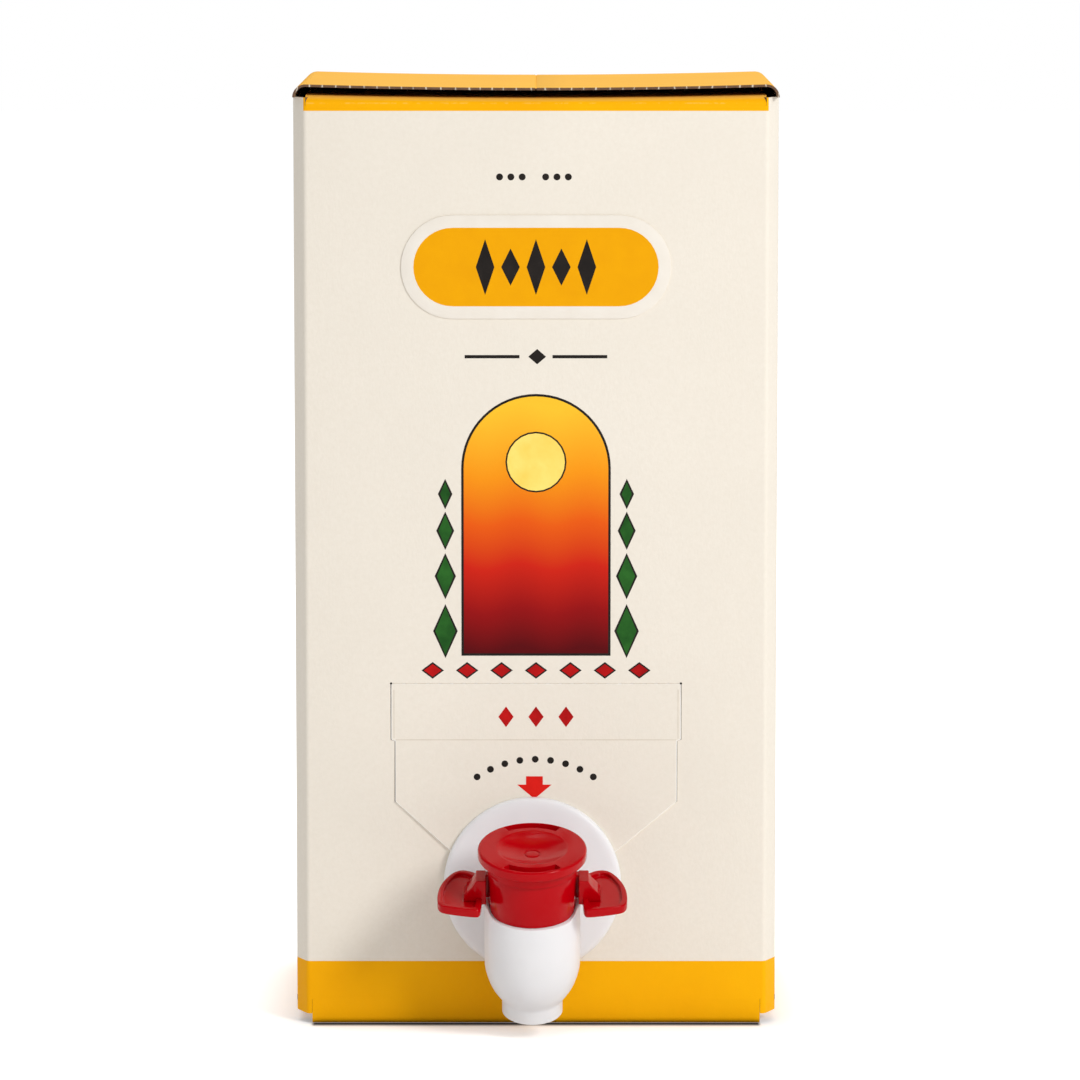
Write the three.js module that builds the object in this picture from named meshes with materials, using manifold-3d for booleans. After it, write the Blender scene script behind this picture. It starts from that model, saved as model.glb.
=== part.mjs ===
import * as THREE from 'three';
import { mergeVertices } from 'three/addons/utils/BufferGeometryUtils.js';
import Module from 'manifold-3d';

const wasm = await Module();
wasm.setup();

// Sizes in millimetres. X runs to the right as the front is faced, Y to the back, Z up.
// The origin is the middle of the carton's base.

// The carton, folded from one sheet of corrugated board.
const cartonWidth = 120.5;
const cartonDepth = 85;
const cartonHeight = 235.7;
const boardThickness = 1.5;
const frontEdgeAcross = 2.8;
const frontEdgeDeep = 6;
const backCornerRadius = 3;
const lidFoldRadius = 3.2;
const lidSag = 0.6;
const lidSetBack = 0.9;
const lidSeam = 0.5;
const lidToFlap = 0.5;
const topFlapRadius = 2.6;
const topFlapLength = 40;
const topNotch = 0.5;
const bottomFoldRadius = 1.7;
const bottomLayerGap = 0.3;
const bottomFlapLength = 40;
const bottomNotchWide = 4;
const bottomNotchHigh = 2.6;
const glueTabWidth = 30;

// The cut flap in the front panel that closes over the tap.
const flapHalfWidth = 36.1;
const flapTopHeight = 86.4;
const flapCreaseHeight = 72.2;
const flapShoulderHeight = 56.6;
const flapSlantRun = 14.1;
const flapSlantDrop = 12;
const slitWidth = 0.6;
const creaseWidth = 1;
const creaseDepth = 0.3;

// The pill-shaped sticker.
const labelWidth = 67.4;
const labelHeight = 25.7;
const labelBelowTop = 45.1;
const labelThickness = 0.25;

// The bag of liquid.
const bagSideClearance = 2.6;
const bagDepthClearance = 3;
const bagHeight = 188;
const bagEdgeRadius = 9;
const bagCornerRadius = 12;
const bagSealHeight = 12;
const bagSealThickness = 1.2;

// Where the tap stands on the front panel, and how far it leans out at the top.
const tapAcross = -0.9;
const tapHeight = 35.6;
const tapReach = 25.2;
const tapLean = THREE.MathUtils.degToRad(18.5);
const runningGap = 0.3;

// The gland, which is welded to the bag and holds the tap.
const panelHoleRadius = 13.5;
const glandTubeRadius = 12.4;
const glandCollarRadius = 17;
const glandCollarThickness = 1;
const glandWeldRadius = 20;
const glandWeldThickness = 1;

// The white tap body.
const flangeRadius = 22.25;
const flangeThickness = 2.5;
const plugRadius = 9.3;
const plugLength = 4.4;
const plugBoreRadius = 7.5;
const neckRadius = 6.5;
const neckBoreRadius = 4.8;
const neckDrop = 2.6;
const barrelRadius = 11.85;
const barrelTop = 0.5;
const barrelStraightEnd = -17;
const chamberRadius = 9;
const seatTop = -20;
const seatThickness = 1.5;
const seatHoleRadius = 4.6;
const nozzleRadius = 7.5;
const nozzleBoreRadius = 6.3;
const nozzleEnd = -30.7;

// The coloured collar with its two finger wings.
const collarRadius = 10.9;
const collarWall = 1.7;
const collarFloorThickness = 1.5;
const spigotWall = 1.5;
const spigotLength = 7;
const apronFaceRadius = 11;
const apronThickness = 0.8;
const apronDrop = 2.2;
const apronSideFront = -1.8;
const wingTop = 2.9;
const wingThickness = 2.3;
const wingSpan = 23.3;
const wingFront = -9;
const wingBack = 12;
const wingHollowAcross = 0.62;
const wingHollowAlong = 0.78;
const wingRecess = 0.9;
const armTop = 9;
const armInner = 11.4;
const armOuter = 13.9;
const armFront = -3.5;
const armBack = 6;
const armStepOuter = 16.9;
const armStepTop = 6;
const armStepBack = 3;
const armRootFront = 2;

// The thumb button.
const buttonRadius = 13.4;
const buttonTop = 15.2;
const buttonThickness = 2.6;
const buttonEdge = 0.5;
const buttonTravel = 2.5;
const buttonGroove = 0.8;
const skirtWall = 0.8;
const skirtOverlap = 0.9;
const dishRadius = 8.8;
const dishDepth = 1.6;
const pocketInner = 10.3;
const pocketOuter = 12.7;
const pocketHalfAngle = 32;
const pocketDepth = 1;
const ringMarkRadius = 2;
const ringMarkWidth = 0.35;
const ringMarkDepth = 0.2;
const bossWall = 1.2;
const bossLength = 3;

// The stem, the seal that it carries and the rubber dome that brings the button back.
const stemRadius = 2.4;
const stemShoulderRadius = 3.4;
const stemShoulderLength = 3;
const stemHeadLength = 0.9;
const sealRadius = 5.4;
const sealThickness = 2.1;
const domeWall = 0.8;
const domeRimHeight = 1;
// Room round the button's boss and under the button, so that the pressed dome stays clear of both.
const domeHoleRoom = 1.1;
const domeCrownRoom = 0.9;

const halfWidth = cartonWidth / 2;
const halfDepth = cartonDepth / 2;
const frontFace = -halfDepth;
const panelBack = frontFace + boardThickness;
const topFlapLevel = cartonHeight - boardThickness - lidSag - lidToFlap;
const sideTop = cartonHeight - lidFoldRadius;
const backFlapLevel = boardThickness + bottomLayerGap;
const sideFlapLevel = backFlapLevel + boardThickness + bottomLayerGap;
const bagFloor = sideFlapLevel + boardThickness;
const sleeveBottom = sideFlapLevel + bottomFoldRadius + 1;
const collarFloorTop = barrelTop + runningGap + collarFloorThickness;
const buttonUnderside = buttonTop - buttonThickness;
const buttonGrooveTop = buttonUnderside + buttonGroove;
const collarTop = buttonGrooveTop - buttonTravel - runningGap;
const stemTop = buttonUnderside - runningGap;
const seatBottom = seatTop - seatThickness;
const sealTop = seatBottom - runningGap;
const sealBottom = sealTop - sealThickness;

const group = new THREE.Group();
group.name = 'cocktail_box_with_tap';

function material(colour, roughness, metalness = 0) {
  return new THREE.MeshStandardMaterial({ color: colour, roughness, metalness });
}

function solid(geometry) {
  const bare = new THREE.BufferGeometry();
  bare.setAttribute('position', geometry.getAttribute('position').clone());
  if (geometry.index) {
    bare.setIndex(geometry.index.clone());
  }
  const joined = mergeVertices(bare, 1e-4);
  const points = joined.getAttribute('position').array;
  const corners = joined.index.array;
  const triangles = [];
  let volume = 0;
  const [a, b, c] = [new THREE.Vector3(), new THREE.Vector3(), new THREE.Vector3()];
  for (let i = 0; i < corners.length; i += 3) {
    const [p, q, r] = [corners[i], corners[i + 1], corners[i + 2]];
    if (p !== q && q !== r && r !== p) {
      triangles.push([p, q, r]);
      a.fromArray(points, p * 3);
      b.fromArray(points, q * 3);
      c.fromArray(points, r * 3);
      volume += a.dot(b.cross(c));
    }
  }
  const outward = volume < 0 ? triangles.map(([p, q, r]) => [p, r, q]) : triangles;
  return new wasm.Manifold(new wasm.Mesh({
    numProp: 3,
    vertProperties: new Float32Array(points),
    triVerts: new Uint32Array(outward.flat()),
  }));
}

function geometryOf(body) {
  const mesh = body.getMesh();
  const geometry = new THREE.BufferGeometry();
  geometry.setAttribute('position', new THREE.BufferAttribute(new Float32Array(mesh.vertProperties), 3));
  geometry.setIndex(new THREE.BufferAttribute(new Uint32Array(mesh.triVerts), 1));
  const faceted = geometry.toNonIndexed();
  faceted.computeVertexNormals();
  return faceted;
}

function addPiece(name, body, finish) {
  const mesh = new THREE.Mesh(geometryOf(body), finish);
  mesh.name = name;
  group.add(mesh);
}

function block(x0, x1, y0, y1, z0, z1) {
  const box = new THREE.BoxGeometry(x1 - x0, y1 - y0, z1 - z0);
  box.translate((x0 + x1) / 2, (y0 + y1) / 2, (z0 + z1) / 2);
  return solid(box);
}

// A flat outline is pushed straight along one of the three axes.
function extrusion(points, axis, from, to) {
  const outline = new THREE.Shape(points.map(([u, v]) => new THREE.Vector2(u, v)));
  const prism = new THREE.ExtrudeGeometry(outline, { depth: to - from, bevelEnabled: false });
  const place = new THREE.Matrix4();
  if (axis === 'x') {
    place.set(0, 0, 1, from, 1, 0, 0, 0, 0, 1, 0, 0, 0, 0, 0, 1);
  } else if (axis === 'y') {
    place.set(1, 0, 0, 0, 0, 0, -1, to, 0, 1, 0, 0, 0, 0, 0, 1);
  } else {
    place.set(1, 0, 0, 0, 0, 1, 0, 0, 0, 0, 1, from, 0, 0, 0, 1);
  }
  prism.applyMatrix4(place);
  return solid(prism);
}

// A profile of radius and height is turned round the upright axis.
function turned(profile, steps = 40) {
  const lathe = new THREE.LatheGeometry(profile.map(([r, h]) => new THREE.Vector2(r, h)), steps);
  lathe.rotateX(Math.PI / 2);
  return solid(lathe);
}

function arc(cx, cy, radius, fromDegrees, toDegrees, steps) {
  const points = [];
  for (let i = 0; i <= steps; i += 1) {
    const angle = THREE.MathUtils.degToRad(fromDegrees + ((toDegrees - fromDegrees) * i) / steps);
    points.push([cx + radius * Math.cos(angle), cy + radius * Math.sin(angle)]);
  }
  return points;
}

// Each point of a path moved sideways by the same distance, to its left.
function besidePath(path, distance, closed) {
  const count = path.length;
  return path.map(([x, y], i) => {
    const hasBefore = closed || i > 0;
    const hasAfter = closed || i < count - 1;
    const [px, py] = hasBefore ? path[(i + count - 1) % count] : [x, y];
    const [nx, ny] = hasAfter ? path[(i + 1) % count] : [x, y];
    const into = new THREE.Vector2(x - px, y - py).normalize();
    const away = new THREE.Vector2(nx - x, ny - y).normalize();
    const before = hasBefore ? into : away;
    const after = hasAfter ? away : into;
    const middle = new THREE.Vector2(-(before.y + after.y), before.x + after.x).normalize();
    const reach = distance / (middle.x * -after.y + middle.y * after.x);
    return [x + middle.x * reach, y + middle.y * reach];
  });
}

// A strip of board that follows a path, with its thickness on the path's left.
function boardStrip(path) {
  return [...path, ...besidePath(path, boardThickness, false).reverse()];
}

function mirrored(path) {
  return path.map(([u, v]) => [-u, v]).reverse();
}

function turnOver(body) {
  return body.mirror([1, 0, 0]);
}

function sleeveOutline() {
  const back = halfDepth - backCornerRadius;
  const side = halfWidth - backCornerRadius;
  return [
    [-halfWidth + frontEdgeAcross, frontFace],
    [halfWidth - frontEdgeAcross, frontFace],
    [halfWidth, frontFace + frontEdgeDeep],
    ...arc(side, back, backCornerRadius, 0, 90, 4),
    ...arc(-side, back, backCornerRadius, 90, 180, 4),
    [-halfWidth, frontFace + frontEdgeDeep],
  ];
}

function sleeve(bottom, top) {
  const outline = sleeveOutline();
  const inside = besidePath(outline, boardThickness, true);
  return extrusion(outline, 'z', bottom, top).subtract(extrusion(inside, 'z', bottom - 1, top + 1));
}

function topFlapHalfWidth() {
  return halfWidth - frontEdgeAcross - topNotch;
}

function frontTopFlap() {
  const start = topFlapLevel - topFlapRadius;
  const path = [
    [frontFace + topFlapLength, topFlapLevel],
    ...arc(frontFace + topFlapRadius, start, topFlapRadius, 90, 180, 5),
    [frontFace, start - boardThickness],
  ];
  return extrusion(boardStrip(path), 'x', -topFlapHalfWidth(), topFlapHalfWidth());
}

function backTopFlap() {
  const start = topFlapLevel - topFlapRadius;
  const path = mirrored([
    [frontFace + topFlapLength, topFlapLevel],
    ...arc(frontFace + topFlapRadius, start, topFlapRadius, 90, 180, 5),
    [frontFace, start - boardThickness],
  ]);
  return extrusion(boardStrip(path), 'x', -topFlapHalfWidth(), topFlapHalfWidth());
}

// Half of the lid, which rises from a side panel and sinks a little towards the seam.
function lidFlap() {
  const flatStart = halfWidth - lidFoldRadius;
  const sagging = [0.75, 0.5, 0.25, 0].map((t) => [
    Math.max(flatStart * t, lidSeam / 2),
    cartonHeight - lidSag * (1 - t * t),
  ]);
  const path = [
    [halfWidth, sideTop - topNotch],
    ...arc(flatStart, sideTop, lidFoldRadius, 0, 90, 5),
    ...sagging,
  ];
  return extrusion(boardStrip(path), 'y', frontFace + lidSetBack, halfDepth - lidSetBack);
}

function frontBottomFlap() {
  const half = halfWidth - bottomNotchWide;
  const path = [
    [frontFace, sleeveBottom + boardThickness],
    ...arc(frontFace + bottomFoldRadius, bottomFoldRadius, bottomFoldRadius, 180, 270, 4),
    [halfDepth - boardThickness, 0],
  ];
  return extrusion(boardStrip(path), 'x', -half, half);
}

function backBottomFlap() {
  const half = halfWidth - bottomNotchWide;
  const bend = backFlapLevel + bottomFoldRadius;
  const path = [
    [halfDepth - bottomFlapLength, backFlapLevel],
    ...arc(halfDepth - bottomFoldRadius, bend, bottomFoldRadius, 270, 360, 4),
    [halfDepth, sleeveBottom + boardThickness],
  ];
  return extrusion(boardStrip(path), 'x', -half, half);
}

function sideBottomFlap() {
  const bend = sideFlapLevel + bottomFoldRadius;
  const path = [
    [halfWidth - bottomFlapLength, sideFlapLevel],
    ...arc(halfWidth - bottomFoldRadius, bend, bottomFoldRadius, 270, 360, 4),
    [halfWidth, sleeveBottom + boardThickness],
  ];
  const front = frontFace + frontEdgeDeep;
  return extrusion(boardStrip(path), 'y', front, halfDepth - backCornerRadius);
}

// The slanted front edge goes lower than the side flap, down to the notch.
function frontEdgeFoot() {
  const left = halfWidth - bottomNotchWide + topNotch;
  const keep = block(left, halfWidth + 1, frontFace - 1, frontFace + frontEdgeDeep, 0, cartonHeight);
  return sleeve(bottomNotchHigh, sleeveBottom + boardThickness).intersect(keep);
}

function glueTab() {
  const inside = -halfWidth + boardThickness;
  const back = halfDepth - backCornerRadius;
  const low = sleeveBottom + 10;
  const high = topFlapLevel - 12;
  return block(inside - 0.2, inside + boardThickness, back - glueTabWidth, back, low, high);
}

// A slit of even width that follows a path across the front panel.
function slit(path) {
  const left = besidePath(path, slitWidth / 2, false);
  const right = besidePath(path, -slitWidth / 2, false);
  return extrusion([...left, ...right.reverse()], 'y', frontFace - 1, panelBack + 1);
}

function flapSlit() {
  const run = flapHalfWidth + 2;
  const slope = flapSlantDrop / flapSlantRun;
  const end = flapHalfWidth - tapAcross - panelHoleRadius + 3;
  return slit([
    [flapHalfWidth, flapTopHeight],
    [flapHalfWidth, flapCreaseHeight],
    [flapHalfWidth - 0.7, flapShoulderHeight],
    [flapHalfWidth - 0.7 - Math.min(end, run), flapShoulderHeight - Math.min(end, run) * slope],
  ]);
}

function crease(height) {
  const half = flapHalfWidth - slitWidth;
  const deep = frontFace + creaseDepth;
  return block(-half, half, frontFace - 1, deep, height - creaseWidth / 2, height + creaseWidth / 2);
}

function panelHole() {
  const bore = new THREE.CylinderGeometry(panelHoleRadius, panelHoleRadius, 4 * boardThickness, 40);
  bore.translate(tapAcross, frontFace, tapHeight);
  return solid(bore);
}

function carton() {
  const topHalf = topFlapHalfWidth() + topNotch;
  const topCut = topFlapLevel - topFlapRadius - topNotch;
  const cut = block(-topHalf, topHalf, frontFace - 1, halfDepth + 1, topCut, cartonHeight);
  let body = sleeve(sleeveBottom, sideTop).subtract(cut);
  const foot = frontEdgeFoot();
  const rightLid = lidFlap();
  const rightFloor = sideBottomFlap();
  const added = [
    frontTopFlap(), backTopFlap(), rightLid, turnOver(rightLid),
    frontBottomFlap(), backBottomFlap(), rightFloor, turnOver(rightFloor),
    foot, turnOver(foot), glueTab(),
  ];
  for (const one of added) {
    body = body.add(one);
  }
  const side = flapSlit();
  const removed = [side, turnOver(side), crease(flapTopHeight), crease(flapCreaseHeight), panelHole()];
  for (const one of removed) {
    body = body.subtract(one);
  }
  return body;
}

function pillOutline(width, height, middle) {
  const radius = height / 2;
  const side = width / 2 - radius;
  return [...arc(side, middle, radius, -90, 90, 16), ...arc(-side, middle, radius, 90, 270, 16)];
}

function frontLabel() {
  const outline = pillOutline(labelWidth, labelHeight, cartonHeight - labelBelowTop);
  return extrusion(outline, 'y', frontFace - labelThickness, frontFace);
}

function liquidBag() {
  const half = halfWidth - boardThickness - bagSideClearance - bagEdgeRadius;
  const front = panelBack + bagDepthClearance;
  const low = bagEdgeRadius;
  const high = bagHeight - bagEdgeRadius;
  const r = bagCornerRadius - bagEdgeRadius;
  const outline = [
    ...arc(half - r, high - r, r, 0, 90, 3), ...arc(-half + r, high - r, r, 90, 180, 3),
    ...arc(-half + r, low + r, r, 180, 270, 3), ...arc(half - r, low + r, r, 270, 360, 3),
  ];
  const shape = new THREE.Shape(outline.map(([u, v]) => new THREE.Vector2(u, v)));
  const pillow = new THREE.ExtrudeGeometry(shape, {
    depth: -2 * front - 2 * bagEdgeRadius,
    bevelThickness: bagEdgeRadius,
    bevelSize: bagEdgeRadius,
    bevelSegments: 4,
  });
  pillow.rotateX(Math.PI / 2);
  pillow.translate(0, -front - bagEdgeRadius, bagFloor);
  const thin = bagSealThickness / 2;
  const top = bagFloor + bagHeight;
  return solid(pillow).add(block(-half, half, -thin, thin, top - 4, top + bagSealHeight));
}

// Turned round the level axis that runs from the bag to the tap. Depth is measured along Y.
function turnedLevel(profile, steps) {
  const body = turned(profile, steps);
  return body.rotate([90, 0, 0]).translate([tapAcross, 0, tapHeight]);
}

function gland() {
  const weldBack = panelBack + bagDepthClearance;
  const weldFront = weldBack - glandWeldThickness;
  const collarBack = panelBack + glandCollarThickness;
  const rim = frontFace - runningGap;
  const bore = plugRadius + runningGap;
  return turnedLevel([
    [bore, -weldBack], [glandWeldRadius, -weldBack], [glandWeldRadius, -weldFront],
    [glandTubeRadius, -weldFront], [glandTubeRadius, -collarBack], [glandCollarRadius, -collarBack],
    [glandCollarRadius, -panelBack], [glandTubeRadius, -panelBack], [glandTubeRadius, -rim],
    [bore, -rim], [bore, -weldBack],
  ], 32);
}

// Puts a solid that was made round its own upright axis where the leaning tap stands.
function onTap(body) {
  const degrees = THREE.MathUtils.radToDeg(tapLean);
  return body.rotate([degrees, 0, 0]).translate([tapAcross, frontFace - tapReach, tapHeight]);
}

function tapBody() {
  const back = runningGap - frontFace;
  const front = back + flangeThickness;
  const flange = turnedLevel([
    [0, back - plugLength], [plugRadius, back - plugLength], [plugRadius, back],
    [flangeRadius - 0.4, back], [flangeRadius, back + 0.5], [flangeRadius, front - 1.1],
    [flangeRadius - 0.5, front - 0.5], [flangeRadius - 1.5, front - 0.2],
    [flangeRadius * 0.67, front + 0.3], [plugRadius, front + 1.1], [0, front + 1.1],
  ], 48);
  const neck = turnedLevel([
    [0, back + 1], [neckRadius + 2.8, back + 1], [neckRadius + 2.8, front + 0.8],
    [neckRadius + 1.2, front + 2.4], [neckRadius, front + 4],
    [neckRadius, tapReach - frontFace], [0, tapReach - frontFace],
  ], 40).translate([0, 0, -neckDrop]);
  const outside = onTap(turned([
    [0, nozzleEnd], [nozzleRadius, nozzleEnd], [nozzleRadius, nozzleEnd + 3.7],
    [nozzleRadius + 0.4, nozzleEnd + 4.4], [nozzleRadius + 2.3, nozzleEnd + 7.2],
    [barrelRadius - 0.65, nozzleEnd + 10.7], [barrelRadius - 0.15, barrelStraightEnd - 1],
    [barrelRadius, barrelStraightEnd], [barrelRadius, barrelTop + 1], [0, barrelTop + 1],
  ], 40));
  const chamber = onTap(turned([
    [0, seatTop], [chamberRadius, seatTop], [chamberRadius, barrelTop], [barrelRadius + 1, barrelTop],
    [barrelRadius + 1, barrelTop + 9], [0, barrelTop + 9],
  ], 40));
  const nozzleBore = onTap(turned([
    [0, nozzleEnd - 2], [nozzleBoreRadius, nozzleEnd - 2], [nozzleBoreRadius, seatBottom], [0, seatBottom],
  ], 40));
  const seatHole = onTap(turned([
    [0, seatBottom - 1], [seatHoleRadius, seatBottom - 1], [seatHoleRadius, seatTop + 1], [0, seatTop + 1],
  ], 32));
  const plugBore = turnedLevel([
    [0, back - plugLength - 1], [plugBoreRadius, back - plugLength - 1], [plugBoreRadius, back + 1],
    [0, back + 1],
  ], 32);
  const neckBore = turnedLevel([
    [0, back], [neckBoreRadius, back], [neckBoreRadius, tapReach - frontFace],
    [0, tapReach - frontFace],
  ], 32).translate([0, 0, -neckDrop]);
  const pocketInside = apronFaceRadius - apronThickness - runningGap;
  const pocket = apronBand(pocketInside, barrelRadius + 2, runningGap);
  return flange.add(neck).add(outside).subtract(chamber).subtract(nozzleBore).subtract(seatHole)
    .subtract(plugBore).subtract(neckBore).subtract(onTap(pocket));
}

// The front half of a ring, cut off below along a line with rounded corners.
function apronBand(inner, outer, grow) {
  const top = barrelTop + 1;
  const low = barrelTop + runningGap - apronDrop - grow;
  const half = collarRadius + grow;
  const corner = 2.6;
  const outline = [
    [half, top], [-half, top], ...arc(-half + corner, low + corner, corner, 180, 270, 4),
    ...arc(half - corner, low + corner, corner, 270, 360, 4),
  ];
  const ring = turned([[inner, low - 1], [outer, low - 1], [outer, top], [inner, top], [inner, low - 1]], 48);
  return ring.intersect(extrusion(outline, 'y', -outer - 1, apronSideFront + grow));
}

// The shares give each corner's place between the barrel and the wing's tip, and along the wing.
function wingOutline() {
  const inner = barrelRadius + runningGap + 0.2;
  const across = (share) => inner + (wingSpan - inner) * share;
  return [
    [inner, wingFront], [across(0.4), wingFront * 0.93], [across(0.83), wingFront * 0.7],
    [across(0.96), wingFront * 0.48], [wingSpan, wingFront * 0.1], [across(0.96), wingBack * 0.13],
    [across(0.87), wingBack * 0.36], [across(0.74), wingBack * 0.72], [across(0.62), wingBack * 0.94],
    [across(0.53), wingBack], [across(0.2), wingBack], [across(0.12), wingBack * 0.96], [inner, armBack],
  ];
}

function wing() {
  const outline = wingOutline();
  const low = wingTop - wingThickness;
  const across = outline.map(([u]) => u);
  const along = outline.map(([, v]) => v);
  const middleAcross = (Math.min(...across) + Math.max(...across)) / 2;
  const middleAlong = (Math.min(...along) + Math.max(...along)) / 2;
  const recess = outline.map(([u, v]) => [
    middleAcross + (u - middleAcross) * wingHollowAcross,
    middleAlong + (v - middleAlong) * wingHollowAlong,
  ]);
  const paddle = extrusion(outline, 'z', low, wingTop);
  const hollow = extrusion(recess, 'z', wingTop - wingRecess, wingTop + 1);
  const inner = barrelRadius + runningGap + 0.2;
  const shelf = barrelTop + 2 * runningGap;
  const arm = block(inner, armOuter, armFront, armBack, low, shelf);
  const post = block(armInner, armOuter, armFront, armBack, shelf, armTop);
  const root = block(collarRadius - 1.5, armInner + 0.5, armRootFront, armBack, shelf, armTop - 0.4);
  const bracket = extrusion([
    [armOuter - 0.5, wingTop - wingRecess], [armStepOuter, wingTop - wingRecess],
    [armStepOuter - 0.5, wingTop + 1], [armOuter + 1, armStepTop], [armOuter, armTop - 1],
    [armOuter - 0.5, armTop - 1],
  ], 'y', armFront, armStepBack);
  return paddle.subtract(hollow).add(arm).add(post).add(root).add(bracket);
}

function wingCollar() {
  const floorLow = barrelTop + runningGap;
  const spigotOuter = chamberRadius - runningGap;
  const spigotInner = spigotOuter - spigotWall;
  const spigotLow = floorLow - spigotLength;
  const guide = stemRadius + runningGap;
  const tube = turned([
    [guide, floorLow], [spigotInner, floorLow], [spigotInner, spigotLow], [spigotOuter, spigotLow],
    [spigotOuter, floorLow], [collarRadius, floorLow], [collarRadius, collarTop - 0.3],
    [collarRadius - 0.3, collarTop], [collarRadius - collarWall, collarTop],
    [collarRadius - collarWall, collarFloorTop], [guide, collarFloorTop], [guide, floorLow],
  ], 40);
  const apron = apronBand(apronFaceRadius - apronThickness, apronFaceRadius, 0);
  const apronRoot = barrelTop + runningGap + 0.5;
  const above = block(-tapReach, tapReach, -tapReach, tapReach, apronRoot, tapReach);
  const trimmed = apron.subtract(above);
  const oneWing = wing();
  const joined = tube.add(trimmed).add(oneWing).add(turnOver(oneWing));
  const inlet = new THREE.CylinderGeometry(neckRadius + 1, neckRadius + 1, tapReach, 32);
  inlet.translate(0, tapReach / 2, -neckDrop);
  inlet.rotateX(-tapLean);
  const room = block(-tapReach, tapReach, 0, 2 * tapReach, -tapReach, floorLow);
  const throat = solid(inlet).intersect(room);
  return onTap(joined.subtract(throat));
}

function thumbButton() {
  const rim = buttonUnderside;
  const skirtInner = collarRadius + runningGap;
  const skirtOuter = skirtInner + skirtWall;
  const skirtLow = collarTop - skirtOverlap;
  const skirtOverArms = armTop + buttonTravel + runningGap;
  const grooveInner = collarRadius - collarWall - runningGap;
  const bossInner = stemRadius + runningGap;
  const bossOuter = bossInner + bossWall;
  const bossLow = buttonUnderside - bossLength;
  const dish = [0.35, 0.7, 1].map((t) => [dishRadius * t, buttonTop - dishDepth * (1 - t * t)]);
  const cap = turned([
    [0, buttonUnderside], [bossInner, buttonUnderside], [bossInner, bossLow], [bossOuter, bossLow],
    [bossOuter, buttonUnderside], [grooveInner, buttonUnderside], [grooveInner, buttonGrooveTop],
    [skirtInner, buttonGrooveTop], [skirtInner, skirtLow],
    [skirtOuter, skirtLow], [skirtOuter, rim], [buttonRadius - 0.2, rim], [buttonRadius, rim + 0.3],
    [buttonRadius, buttonTop - buttonEdge], [buttonRadius - 0.2, buttonTop - 0.15],
    [buttonRadius - 0.55, buttonTop], [dishRadius + 0.1, buttonTop], ...dish.reverse(),
    [0, buttonTop - dishDepth],
  ], 44);
  const mark = turned([
    [ringMarkRadius - ringMarkWidth, buttonTop - dishDepth - ringMarkDepth],
    [ringMarkRadius, buttonTop - dishDepth - ringMarkDepth], [ringMarkRadius, buttonTop],
    [ringMarkRadius - ringMarkWidth, buttonTop],
    [ringMarkRadius - ringMarkWidth, buttonTop - dishDepth - ringMarkDepth],
  ], 16);
  const half = pocketHalfAngle;
  const pocket = (middle) => extrusion([
    ...arc(0, 0, pocketOuter, middle - half, middle + half, 6),
    ...arc(0, 0, pocketInner, middle + half, middle - half, 6),
  ], 'z', buttonTop - pocketDepth, buttonTop + 1);
  const overArm = block(
    skirtInner / 2, skirtOuter + 1, armFront - 2 * runningGap, armBack + 2 * runningGap,
    skirtLow - 1, skirtOverArms,
  ).subtract(turned([
    [0, skirtLow - 2], [bossOuter + 1, skirtLow - 2], [bossOuter + 1, buttonTop], [0, buttonTop],
  ], 24));
  return onTap(cap.subtract(mark).subtract(pocket(90)).subtract(pocket(270))
    .subtract(overArm).subtract(turnOver(overArm)));
}

function valveStem() {
  const shoulderLow = sealTop + runningGap;
  const headTop = sealBottom - runningGap;
  const headLow = headTop - stemHeadLength;
  return onTap(turned([
    [0, headLow], [stemShoulderRadius - 0.4, headLow], [stemShoulderRadius, headLow + 0.4],
    [stemShoulderRadius, headTop], [stemRadius, headTop], [stemRadius, shoulderLow],
    [stemShoulderRadius, shoulderLow], [stemShoulderRadius, shoulderLow + stemShoulderLength],
    [stemRadius, shoulderLow + stemShoulderLength + 1], [stemRadius, stemTop - 0.4],
    [stemRadius - 0.4, stemTop], [0, stemTop],
  ], 20));
}

function valveSeal() {
  const bore = stemRadius + runningGap;
  return onTap(turned([
    [bore, sealBottom], [sealRadius - 0.8, sealBottom], [sealRadius, sealTop - 0.8],
    [sealRadius, sealTop], [bore, sealTop], [bore, sealBottom],
  ], 24));
}

// A thin rubber shell that stands on the collar's floor and bears up the button.
function returnDome() {
  const rimLow = collarFloorTop + runningGap;
  const rimOuter = collarRadius - collarWall - runningGap;
  const crown = buttonUnderside - domeCrownRoom;
  const hole = stemRadius + runningGap + bossWall + domeHoleRoom;
  const side = rimOuter - 1.2;
  const rise = crown - rimLow - domeRimHeight;
  const outer = [0.25, 0.5, 0.75, 1].map((t) => [
    side - (side - hole - 1) * t, rimLow + domeRimHeight + rise * Math.sin((t * Math.PI) / 2),
  ]);
  const inner = outer.map(([r, h]) => [r - domeWall * 0.7, h - domeWall * 0.8]);
  return onTap(turned([
    [rimOuter, rimLow], [rimOuter, rimLow + domeRimHeight], [side, rimLow + domeRimHeight], ...outer,
    [hole, crown], [hole, crown - domeWall * 0.8], ...inner.reverse(),
    [side - domeWall, rimLow + 0.6], [side - domeWall, rimLow], [rimOuter, rimLow],
  ], 24));
}

const creamBoard = material('#f0e8db', 0.85);
const labelPaper = material('#fdc00c', 0.6);
const silverFilm = material('#c9ccd0', 0.45);
const naturalPlastic = material('#dcdcd8', 0.5);
const whitePlastic = material('#e6e4e3', 0.45);
const redPlastic = material('#bb1714', 0.4);
const greyRubber = material('#6d6f71', 0.8);

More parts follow.
